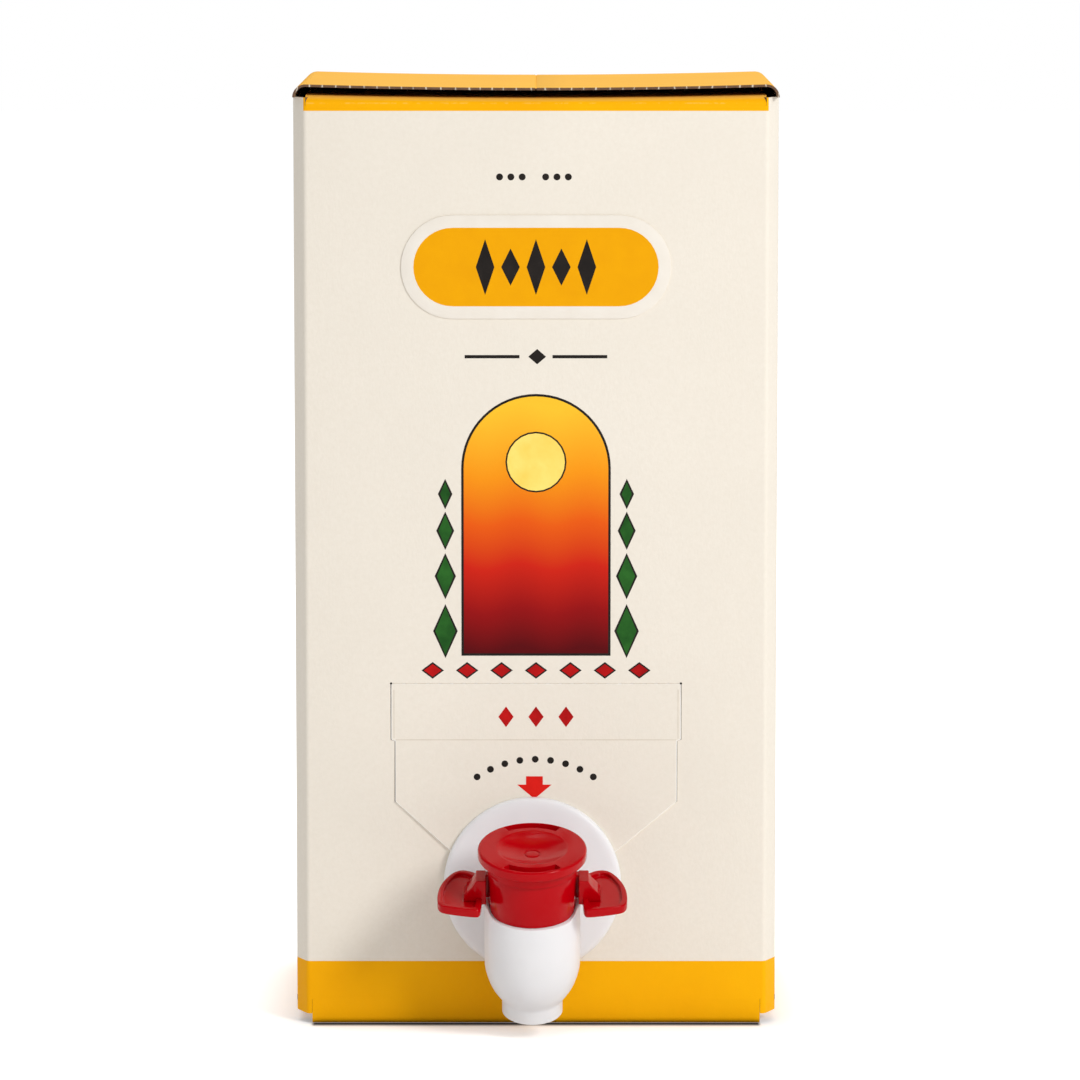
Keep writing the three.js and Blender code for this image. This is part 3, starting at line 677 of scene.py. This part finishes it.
# Faces that point neither forward nor back are the cut edge, which gets the pale paper with its painted
# highlight
for face in cut_flap.data.polygons:
    forward = -face.normal.y
    face.material_index = PRINTED if forward > 0.5 else (PLAIN if forward < -0.5 else PALE_EDGE)
hinge = Vector((0, FRONT, FLAP_TOP)) * MM
lean = Matrix.Translation(hinge) @ Matrix.Rotation(FLAP_LEAN, 4, "X") @ Matrix.Translation(-hinge)
reshape(cut_flap, lean)
round_edges(cut_flap, 0.2, 2, material=PALE_EDGE)
tidy_surface(cut_flap, 30)
modify(cut_flap, "WEIGHTED_NORMAL")

sheets = [sleeve, front_fold, back_fold, front_foot, back_foot, cut_flap] + paired + mirrored
carton = joined("folded_carton", sheets)
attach(carton, "box")
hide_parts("carton")
print("carton faces:", len(carton.data.polygons))

# %% [markdown]
# ## The sticker
# The pill-shaped sticker is one thin plate. Its front face is inset by the width of the pale
# border, and the face that is left inside gets the yellow.


# %% Sticker
def pill(width, height, middle, steps=20):
    radius = height / 2
    side = width / 2 - radius
    return arc(side, middle, radius, -90, 90, steps) + arc(-side, middle, radius, 90, 270, steps)


label_face = FRONT - LABEL_THICK
sticker = plate("pill_sticker", pill(LABEL_WIDTH, LABEL_HEIGHT, LABEL_Z), "y", FRONT, label_face)
wrap(sticker, label_white, label_yellow)
sticker_mesh = open_faces(sticker)
front_face = min(sticker_mesh.faces, key=lambda face: face.calc_center_median().y)
front_face.select = True
bmesh.update_edit_mesh(sticker.data)
bpy.ops.mesh.inset(thickness=LABEL_BORDER * MM)
sticker.active_material_index = 1
bpy.ops.object.material_slot_assign()
bpy.ops.object.mode_set(mode="OBJECT")
round_edges(sticker, 0.1, 2, 60)
tidy_surface(sticker, 40)
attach(sticker, "box")
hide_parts("front_label")
print("sticker faces:", len(sticker.data.polygons))

# %% [markdown]
# ## The print
# Lozenges, rows of dots and a plain arch with a low sun are printed on the front. Ink has no real
# thickness, so each field stands out by a hair only, and a field on top of another one by a
# second hair. What is printed on the flap leans forward with it.


# %% Print on the front panel
printed = []


def ink(name, outline, finish, layer=1, base=FRONT):
    piece = plate(name, outline, "y", base - INK * (layer - 1), base - INK * layer)
    piece.data.materials.append(finish)
    printed.append(piece)
    return piece


def lozenge(x, z, half_width, half_height):
    return [(x - half_width, z), (x, z - half_height), (x + half_width, z), (x, z + half_height)]


def bar(x0, x1, z0, z1):
    return [(x0, z0), (x1, z0), (x1, z1), (x0, z1)]


def dots(name, places, radius, finish, layer=1, base=FRONT):
    """Round spots: the first is drawn, and the others are copies of it that are moved."""
    first = ink(name, arc(*places[0], radius, 0, 345, 23), finish, layer, base)
    for i, (x, z) in enumerate(places[1:]):
        step = Matrix.Translation(Vector((x - places[0][0], 0, z - places[0][1])) * MM)
        printed.append(reshape(copy_of(first, f"{name}_{i}"), step))


def arch(half_width, foot, shoulder):
    return [(-half_width, foot), (half_width, foot)] + arc(0, shoulder, half_width, 0, 180, 32)


LOZENGE_STEP, LOZENGE_HALF, TALL_HALF, SHORT_HALF = 6.3, 2.3, 6.9, 4.6
for i in range(-2, 3):
    tall = TALL_HALF if i % 2 == 0 else SHORT_HALF
    shape = lozenge(LOZENGE_STEP * i, LABEL_Z, LOZENGE_HALF, tall)
    ink(f"lozenge_{i + 2}", shape, ink_black, 1, label_face)
DOT_RADIUS, DOT_ROW = 0.85, 212.9
dots("code_dots", [(x, DOT_ROW) for x in (-9.0, -6.2, -3.4, 2.4, 5.2, 8.0)], DOT_RADIUS, ink_black)
RULE_Z, RULE_THICK, RULE_MIDDLE, RULE_HALF = 168.3, 0.8, 10.9, 6.8
for side in (-1, 1):
    middle = side * RULE_MIDDLE
    low, high = RULE_Z - RULE_THICK / 2, RULE_Z + RULE_THICK / 2
    ink(f"rule_{side + 1}", bar(middle - RULE_HALF, middle + RULE_HALF, low, high), ink_black)
ink("rule_lozenge", lozenge(0.3, RULE_Z, 2.2, 1.9), ink_black)

ARCH_HALF, ARCH_FOOT, ARCH_SHOULDER, ARCH_LINE = 18.0, 94.0, 140.4, 0.6
SUN_PLACE, SUN_RADIUS, SUN_LINE = (0, 142.0), 7.2, 0.4
arch_rim = arch(ARCH_HALF + ARCH_LINE, ARCH_FOOT - ARCH_LINE, ARCH_SHOULDER)
ink("arch_line", arch_rim, ink_black, 1)
ink("arch_field", arch(ARCH_HALF, ARCH_FOOT, ARCH_SHOULDER), ink_sunset, 2)
dots("sun_line", [SUN_PLACE], SUN_RADIUS + SUN_LINE, ink_black, 3)
dots("sun", [SUN_PLACE], SUN_RADIUS, ink_sun, 4)
SIDE_COLUMN = 22.6
for i, (z, tall) in enumerate([(99.6, 6.0), (113.4, 5.0), (124.8, 4.0), (134.0, 3.0)]):
    half = tall * 0.42
    for side in (-1, 1):
        x = side * SIDE_COLUMN
        ink(f"side_line_{i}_{side + 1}", lozenge(x, z, half + 0.55, tall + 0.8), ink_black, 1)
        ink(f"side_{i}_{side + 1}", lozenge(x, z, half, tall), ink_green, 2)
FOOT_ROW, FOOT_STEP = 89.7, 8.6
for i in range(-3, 4):
    ink(f"foot_line_{i + 3}", lozenge(FOOT_STEP * i, FOOT_ROW, 2.8, 2.1), ink_black, 1)
    ink(f"foot_{i + 3}", lozenge(FOOT_STEP * i, FOOT_ROW, 2.2, 1.6), ink_dot_red, 2)


def flap_ink(name, outline, finish, layer=1):
    """A field of ink on the cut flap, so it leans forward with it."""
    return reshape(ink(name, outline, finish, layer), lean)


for i, x in enumerate((-7.5, 0.0, 7.5)):
    flap_ink(f"flap_lozenge_{i}", lozenge(x, 78.0, 1.9, 2.6), ink_dot_red)
ROW_RADIUS, ROW_TURN = 26, 8.5
for i in range(9):
    turn = math.radians(90 + (i - 4) * ROW_TURN)
    place = (-0.2 + ROW_RADIUS * math.cos(turn), 41.3 + ROW_RADIUS * math.sin(turn))
    flap_ink(f"arc_dot_{i}", arc(*place, DOT_RADIUS, 0, 345, 15), ink_black)
flap_ink("arrow", [
    (-2.5, 63.0), (-2.5, 60.9), (-4.7, 60.9), (-0.4, 57.3), (3.9, 60.9), (1.7, 60.9), (1.7, 63.0),
], ink_red)
print("printed fields:", len(printed))

# %% [markdown]
# ## The flap's pressed lines
# The flap's top is pressed in short dashes, where it folds up when the box is opened, and a second
# line crosses it where its sides step in. Thin fields of a darker cream stand for these lines, as
# painted shade in the pressed grooves.

# %% Pressed lines and nicks of the flap
DASHES, DASH_STEP, DASH_LENGTH, DASH_START = 24, 3.0, 2.2, -35.6
for i in range(DASHES):
    start = DASH_START + i * DASH_STEP
    dash = bar(start, start + DASH_LENGTH, FLAP_TOP - 0.1, FLAP_TOP + 0.05)
    ink(f"top_crease_{i}", dash, crease_shade_paint)
# The nicks at the ends of the top crease are small black dots, painted shade of the cuts through the
# board
dots("corner_nick", [(-36.2, FLAP_TOP), (36.2, FLAP_TOP)], 0.28, ink_black)
flap_ink("low_crease", bar(-35.1, 35.1, FLAP_CREASE - 0.1, FLAP_CREASE + 0.1), crease_shade_paint)
for side in (-1, 1):
    inner_line = bar(side * 35.5 - 0.09, side * 35.5 + 0.09, FLAP_CREASE + 0.4, FLAP_TOP - 1.6)
    flap_ink(f"side_crease_{side + 1}", inner_line, crease_shade_paint)
artwork = joined("front_print", printed)
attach(artwork, "box")
print("print faces:", len(artwork.data.polygons))

# %% [markdown]
# ## The tap's white body
# It is moulded in one: a round flange that hides the hole in the box, a short neck, and an upright
# barrel that narrows to the nozzle. Each is a section spun about its own axis. A shallow pocket
# is cut in the barrel's front for the red apron.


# %% White tap body
BARREL_RADIUS, BARREL_INSIDE, BARREL_TOP = 11.85, 9.0, 0.5
NOZZLE_RADIUS, NOZZLE_BORE, NOZZLE_END, LIP = 7.5, 6.3, -30.7, 0.2
SEAT_BORE, SEAT_TOP, SEAT_FOOT = 4.6, -20.0, -21.5
barrel = spun("barrel", [
    # The nozzle's lip and its outside
    (NOZZLE_BORE, NOZZLE_END + LIP), (NOZZLE_BORE + LIP, NOZZLE_END), (NOZZLE_RADIUS - LIP, NOZZLE_END),
    (NOZZLE_RADIUS, NOZZLE_END + LIP), (NOZZLE_RADIUS, -27.4), (7.6, -26.8),
    # The bowl that widens to the chamber
    (8.1, -26.0), (8.9, -24.9), (9.8, -23.5), (10.6, -21.8), (11.2, -20.0), (11.6, -18.4),
    (11.8, -17.0), (BARREL_RADIUS, -15.4),
    # The chamber's wall, its rim and its floor
    (BARREL_RADIUS, BARREL_TOP - 0.3), (BARREL_RADIUS - 0.3, BARREL_TOP),
    (BARREL_INSIDE + 0.3, BARREL_TOP), (BARREL_INSIDE, BARREL_TOP - 0.3),
    (BARREL_INSIDE, SEAT_TOP + 0.3), (BARREL_INSIDE - 0.3, SEAT_TOP),
    # The valve's seat and the nozzle's bore
    (SEAT_BORE, SEAT_TOP), (SEAT_BORE, SEAT_FOOT), (NOZZLE_BORE, SEAT_FOOT),
    (NOZZLE_BORE, NOZZLE_END + LIP),
])
pocket_corners = arc(-8.4, 1.06, 2.6, 180, 270, 6) + arc(8.4, 1.06, 2.6, 270, 360, 6)
pocket = plate("pocket", [(11.0, 4), (-11.0, 4)] + pocket_corners, "y", -20, -1.5)
core = spun("core", [(0, -6), (9.9, -6), (9.9, 8), (0, 8), (0, -6)], 96)
cut_away(pocket, core)
cut_away(barrel, pocket)
round_edges(barrel, 0.16, 2, 50)
tidy_surface(barrel, 40)
onto_tap(barrel)

SPIGOT_RADIUS, SPIGOT_BORE, SPIGOT_LENGTH, FLANGE_GAP = 9.3, 7.5, 4.4, 0.3
NECK_RADIUS, NECK_BORE, NECK_END = 6.5, 4.8, 57.2
neck_back = FLANGE_GAP - FRONT
flange = spun("flange", [(radius, neck_back + ahead) for radius, ahead in [
    # The short spigot behind it, which goes into the box
    (SPIGOT_BORE, -SPIGOT_LENGTH), (SPIGOT_RADIUS - 0.2, -SPIGOT_LENGTH),
    (SPIGOT_RADIUS, 0.2 - SPIGOT_LENGTH), (SPIGOT_RADIUS, 0),
    # Its flat back and its rounded rim
    (21.7, 0), (22.05, 0.15), (22.25, 0.5), (22.25, 1.3), (22.15, 1.7), (21.9, 2.05),
    (21.4, 2.3), (20.6, 2.45), (19.4, 2.55),
    # The front, which rises a little to the neck
    (15.0, 2.8), (11.6, 3.2), (SPIGOT_RADIUS, 3.6), (0, 3.6),
    (0, 1), (SPIGOT_BORE, 1), (SPIGOT_BORE, -SPIGOT_LENGTH),
]], 128)
tap_centre = Matrix.Translation(Vector((TAP_X, 0, TAP_Z)) * MM)
turn_level = tap_centre @ Matrix.Rotation(math.radians(90), 4, "X")
reshape(flange, turn_level)
neck = spun("neck", [
    (NECK_BORE, neck_back + 2), (9.3, neck_back + 2), (9.3, neck_back + 3.3), (8.4, neck_back + 4.0),
    (7.7, neck_back + 4.9), (6.9, neck_back + 5.9), (NECK_RADIUS, neck_back + 7.4),
    (NECK_RADIUS, NECK_END), (NECK_BORE, NECK_END), (NECK_BORE, neck_back + 2),
])
reshape(neck, Matrix.Translation((0, 0, -NECK_DROP * MM)) @ turn_level)
tap_body = joined("tap_body_moulding", [flange, neck, barrel])
repaint(tap_body, white_plastic)
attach(tap_body, "box")
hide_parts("tap_body")
print("tap body faces:", len(tap_body.data.polygons))

# %% [markdown]
# ## The red collar and its wings
# Two fingers pull up on the wings while the thumb presses the button. Each wing is a flat paddle
# with a raised rim round a shallow hollow, which is cut with a smaller copy of its own outline.


# %% Red collar
TUBE_RADIUS, TUBE_INSIDE, TUBE_TOP, STEM_HOLE = 10.9, 9.2, 10.6, 2.7
FLOOR_FOOT, FLOOR_TOP = 0.8, 2.3
APRON_INSIDE, APRON_FOOT, APRON_BACK = 10.1, -3, -1.8
tube = spun("tube", [
    # Under the floor, and down the inside of the apron
    (STEM_HOLE, FLOOR_FOOT), (APRON_INSIDE, FLOOR_FOOT), (APRON_INSIDE, APRON_FOOT),
    # The outside, the rounded rim and the inside
    (TUBE_RADIUS, APRON_FOOT), (TUBE_RADIUS, TUBE_TOP - 0.3), (TUBE_RADIUS - 0.07, TUBE_TOP - 0.12),
    (TUBE_RADIUS - 0.25, TUBE_TOP), (TUBE_INSIDE, TUBE_TOP), (TUBE_INSIDE, FLOOR_TOP),
    (STEM_HOLE, FLOOR_TOP), (STEM_HOLE, FLOOR_FOOT),
], 128)
# The apron stays only at the front, with rounded lower corners
left_corner, right_corner = arc(-8.3, 1.2, 2.6, 189, 270, 8), arc(8.3, 1.2, 2.6, 270, 351, 8)
apron_edge = [(-TUBE_RADIUS, FLOOR_FOOT)] + left_corner + right_corner + [(TUBE_RADIUS, FLOOR_FOOT)]
round_apron = [(-14, FLOOR_FOOT)] + apron_edge + [(14, FLOOR_FOOT), (14, -5), (-14, -5)]
behind_apron = [(-14, -5), (14, -5), (14, FLOOR_FOOT), (-14, FLOOR_FOOT)]
cut_away(tube, plate("under_apron", round_apron, "y", -20, APRON_BACK))
cut_away(tube, plate("behind_apron", behind_apron, "y", APRON_BACK, 20))
round_edges(tube, 0.18, 2, 60)
tidy_surface(tube, 40)


def smooth_line(points, steps=5):
    """A closed line of soft curves through the middles of the sides of a rough outline."""
    result = []
    count = len(points)
    for i in range(count):
        before, corner, after = (Vector(points[(i + k) % count]) for k in (-1, 0, 1))
        start, end = (before + corner) / 2, (corner + after) / 2
        for k in range(steps):
            t = k / steps
            result.append(tuple(start * (1 - t) ** 2 + corner * 2 * t * (1 - t) + end * t * t))
    return result


WING_TOP, WING_FOOT, WING_HOLLOW = 2.9, 0.6, 0.9
HOLLOW_SHARE_ACROSS, HOLLOW_SHARE_ALONG = 0.74, 0.84
paddle_outline = smooth_line([
    (12.35, -3.0), (12.6, -9.0), (14.0, -9.5), (20.6, -7.9), (23.2, -6.6), (23.5, -2.0), (22.9, 3.2),
    (21.0, 8.2), (18.6, 11.4), (15.6, 11.2), (12.6, 8.4), (12.3, 2.0),
])
paddle = plate("paddle", paddle_outline, "z", WING_FOOT, WING_TOP)
middle_x = (min(x for x, _ in paddle_outline) + max(x for x, _ in paddle_outline)) / 2
middle_y = (min(y for _, y in paddle_outline) + max(y for _, y in paddle_outline)) / 2
hollow_outline = [
    (middle_x + (x - middle_x) * HOLLOW_SHARE_ACROSS, middle_y + (y - middle_y) * HOLLOW_SHARE_ALONG)
    for x, y in paddle_outline
]
cut_away(paddle, plate("hollow", hollow_outline, "z", WING_TOP - WING_HOLLOW, WING_TOP + 2))
round_edges(paddle, 0.38, 4, 50)
tidy_surface(paddle, 50)
modify(paddle, "WEIGHTED_NORMAL")

ARM_FRONT, ARM_BACK = -3.5, 2.5
arm = plate("arm", [
    (12.35, 0.6), (13.9, 0.6), (13.9, 7.6), (11.4, 7.6), (11.4, 1.1), (12.35, 1.1),
], "y", ARM_FRONT, ARM_BACK)
bracket = plate("bracket", [
    (13.4, 2.0), (16.9, 2.0), (16.7, 3.6), (16.0, 4.6), (15.0, 5.6), (14.3, 6.6), (13.9, 7.4),
    (13.4, 7.4),
], "y", ARM_FRONT, 2)
root = plate("root", [(9.4, 1.1), (11.9, 1.1), (11.9, 7.4), (9.4, 7.4)], "y", 0, ARM_BACK)
for piece in (arm, bracket, root):
    round_edges(piece, 0.35, 3)
    tidy_surface(piece, 50)
    modify(piece, "WEIGHTED_NORMAL")
right_wing = joined("right_wing", [paddle, arm, bracket, root])
left_wing = mirror_across(right_wing, "left_wing")
collar = joined("wing_collar_moulding", [tube, right_wing, left_wing])
repaint(collar, red_plastic)
onto_tap(collar)
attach(collar, "box")
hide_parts("wing_collar")
print("collar faces:", len(collar.data.polygons))

# %% [markdown]
# ## The thumb button
# A round cap with a dish for the thumb. Two curved pockets are pressed into its rim, and a small
# ring in the middle of the dish marks where the plastic entered the mould.


# %% Red thumb button
DISH, DISH_RADIUS, CAP_TOP, CAP_THICK = 1.9, 8.8, 15.2, 2.6
POCKET_INNER, POCKET_OUTER, POCKET_HALF_ANGLE, POCKET_DEPTH = 10.3, 12.7, 35, 1.2
BOSS_RADIUS, BOSS_INSIDE, BOSS_END = 3.9, 2.7, 9.6
GROOVE_INSIDE, GROOVE_TOP = 8.9, 13.4
SKIRT_RADIUS, SKIRT_INSIDE, SKIRT_END = 11.55, 11.2, 10.0
CAP_RADIUS = 13.4
UNDER = CAP_TOP - CAP_THICK
rings = (1, 0.94, 0.86, 0.75, 0.62, 0.48, 0.36, 0.27)
dish = [(DISH_RADIUS * t, CAP_TOP - DISH * (1 - t * t)) for t in rings]
mark = [(2.0, 13.42), (1.95, 13.2), (1.7, 13.2), (1.65, 13.38), (0, 13.32)]
button = spun("thumb_button_cap", [
    # The boss that holds the stem
    (0, UNDER), (BOSS_INSIDE, UNDER), (BOSS_INSIDE, BOSS_END), (BOSS_RADIUS, BOSS_END),
    (BOSS_RADIUS, UNDER),
    # The groove for the collar's rim
    (GROOVE_INSIDE, UNDER), (GROOVE_INSIDE, GROOVE_TOP), (SKIRT_INSIDE, GROOVE_TOP),
    # The skirt round the collar
    (SKIRT_INSIDE, SKIRT_END), (SKIRT_RADIUS, SKIRT_END), (SKIRT_RADIUS, UNDER),
    # The cap's rounded edge and its flat rim
    (12.9, UNDER), (13.2, 12.7), (CAP_RADIUS, 13.0), (CAP_RADIUS, 14.55), (13.33, 14.85),
    (13.15, 15.07), (12.9, 15.18), (POCKET_OUTER, CAP_TOP), (POCKET_INNER, CAP_TOP), (9.0, CAP_TOP),
] + dish + mark, 128)
cap = open_faces(button)
for face in cap.faces:
    middle = face.calc_center_median() / MM
    radius = math.hypot(middle.x, middle.y)
    aside = abs(math.degrees(math.atan2(middle.x, abs(middle.y))))
    on_rim = POCKET_INNER < radius < POCKET_OUTER and middle.z > CAP_TOP - 0.1
    face.select = on_rim and aside < POCKET_HALF_ANGLE
bmesh.update_edit_mesh(button.data)
bpy.ops.mesh.inset(thickness=0.14 * MM, depth=-POCKET_DEPTH * MM)
bpy.ops.object.mode_set(mode="OBJECT")
for side in (-1, 1):
    across = [(side * 10.4, 6), (side * 13, 6), (side * 13, 11.8), (side * 10.4, 11.8)]
    cut_away(button, plate("arm_room", across, "y", -4.1, 6.6))
round_edges(button, 0.14, 2, 48)
tidy_surface(button, 20)
modify(button, "WEIGHTED_NORMAL")
button.data.materials.append(red_plastic)
onto_tap(button)
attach(button, "button")
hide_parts("thumb_button")
print("button faces:", len(button.data.polygons))

# %% [markdown]
# ## The hidden pieces
# The bag, its gland and the valve are out of sight, so the measured parts serve as they are and
# only get their finishes.

# %% Finishes of the hidden pieces
for name, finish in {
    "liquid_bag": silver_film, "gland": natural_plastic, "valve_stem": white_plastic,
    "valve_seal": grey_rubber, "return_dome": grey_rubber,
}.items():
    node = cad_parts[name]
    repaint(node, finish)
    print("finished:", name)

# %% [markdown]
# ## Studio
# A white floor under a white sky. The floor glows a little for the camera only, so that it fades
# into the sky; the glow is weaker near the box, a painted soft shade round it, and a thin dark
# painted shadow lies where the box's front foot rests on it. The sky that the glossy plastic
# mirrors is dim, which keeps its red deep.

# %% Floor and sky
FLOOR_SHIFT = 1.0
deselect()
bpy.ops.mesh.primitive_plane_add(size=8, location=(0, FLOOR_SHIFT, 0))
floor = bpy.context.object
floor.name = "studio_floor"


def floor_surface():
    """Pale and flat, with a thin painted shadow by the box's foot and a glow, both worked out from the
    way to the box's foot.
    """
    finish = Finish("studio_floor", 0.9)
    finish.set(Emission_Color=(1, 1, 1, 1), Specular_IOR_Level=0.0)
    x, y, z = finish.node("SeparateXYZ", ("Vector", finish.place)).outputs
    y = finish.sum("ADD", y, FLOOR_SHIFT)
    beside = finish.sum("SUBTRACT", finish.sum("ABSOLUTE", x), HALF_WIDTH * MM)
    aside = finish.sum("MAXIMUM", beside, 0.0)
    past_depth = finish.sum("SUBTRACT", finish.sum("ABSOLUTE", y), HALF_DEPTH * MM)
    ahead = finish.sum("MAXIMUM", past_depth, 0.0)
    squares = [finish.sum("MULTIPLY", way, way) for way in (aside, ahead)]
    away = finish.sum("POWER", finish.sum("ADD", *squares), 0.5)
    # A painted shadow: a thin dark strip on the floor just in front of the box's front foot, fading out
    # over a few millimetres
    in_front = finish.sum("SUBTRACT", finish.sum("MULTIPLY", y, -1.0), HALF_DEPTH * MM)
    starts = finish.spread(in_front, -1.5 * MM, -0.5 * MM, 0.0, 1.0)
    fades = finish.spread(in_front, 0.8 * MM, 4 * MM, 1.0, 0.0)
    ends = finish.spread(beside, -4.5 * MM, -3.5 * MM, 1.0, 0.0)
    painted_foot_shadow = finish.sum("MULTIPLY", finish.sum("MULTIPLY", starts, fades), ends)
    finish.colour(finish.between(painted_foot_shadow, paint(250, 250, 250), paint(40, 38, 36)))
    # The camera-only glow is left out under the painted shadow and is weaker near the box, which paints
    # a soft shade round its foot
    lit_for_camera = finish.node("LightPath").outputs["Is Camera Ray"]
    open_floor = finish.sum("MULTIPLY", lit_for_camera, finish.sum("SUBTRACT", 1.0, painted_foot_shadow))
    glow = finish.sum("MULTIPLY", open_floor, finish.spread(away, 0.0, 18 * MM, 0.22, 0.5))
    finish.tree.links.new(glow, finish.shader.inputs["Emission Strength"])
    return finish.material


floor.data.materials.append(floor_surface())

world = bpy.data.worlds.new("studio")
bpy.context.scene.world = world
world.use_nodes = True
sky_tree = world.node_tree
path = sky_tree.nodes.new("ShaderNodeLightPath")


def white_sky(strength):
    sky = sky_tree.nodes.new("ShaderNodeBackground")
    sky.inputs["Color"].default_value = (1, 1, 1, 1)
    sky.inputs["Strength"].default_value = strength
    return sky.outputs[0]


def sky_for(ray, usual, special):
    """The special sky for one kind of ray, and the usual one for all others."""
    choice = sky_tree.nodes.new("ShaderNodeMixShader")
    sky_tree.links.new(path.outputs[ray], choice.inputs[0])
    sky_tree.links.new(usual, choice.inputs[1])
    sky_tree.links.new(special, choice.inputs[2])
    return choice.outputs[0]


LIGHTING_SKY, SEEN_SKY, MIRRORED_SKY = 0.54, 1.0, 0.08
lit_or_seen = sky_for("Is Camera Ray", white_sky(LIGHTING_SKY), white_sky(SEEN_SKY))
whole_sky = sky_for("Is Glossy Ray", lit_or_seen, white_sky(MIRRORED_SKY))
sky_tree.links.new(whole_sky, sky_tree.nodes["World Output"].inputs[0])
print("floor and sky:", floor.name, "and", world.name)

# %% [markdown]
# ## Light and camera
# One soft lamp stands to the right and a wider one above, as for a catalogue photograph. The camera
# stands back one and a half metres with a long lens, so that the box's sides stay almost upright.


# %% Lamps and camera
def soft_lamp(name, place, aim, width, power):
    deselect()
    bpy.ops.object.light_add(type="AREA", location=place)
    lamp = bpy.context.object
    lamp.name = name
    lamp.data.shape = "DISK"
    lamp.data.size = width
    lamp.data.energy = power
    lamp.rotation_euler = (Vector(aim) - Vector(place)).to_track_quat("-Z", "Y").to_euler()
    return lamp


soft_lamp("right_lamp", (1.1, -1.3, 1.0), (0, 0, 0.1), 0.55, 17)
soft_lamp("top_lamp", (-0.1, 0.5, 1.5), (0, 0, 0.15), 1.0, 9)

CAMERA_PLACE, CAMERA_AIM = Vector((0.001, -1.5, 0.2952)), Vector((0.001, 0, 0.11745))
deselect()
bpy.ops.object.camera_add(location=CAMERA_PLACE)
camera = bpy.context.object
camera.rotation_euler = (CAMERA_AIM - CAMERA_PLACE).to_track_quat("-Z", "Y").to_euler()
camera.data.sensor_width = 36
camera.data.lens = 196.4
camera.data.clip_start = 0.05
bpy.context.scene.camera = camera
bpy.context.scene.view_settings.view_transform = "Standard"
print("lens:", camera.data.lens, "mm, at", tuple(CAMERA_PLACE))

# %% The end
print("the end")
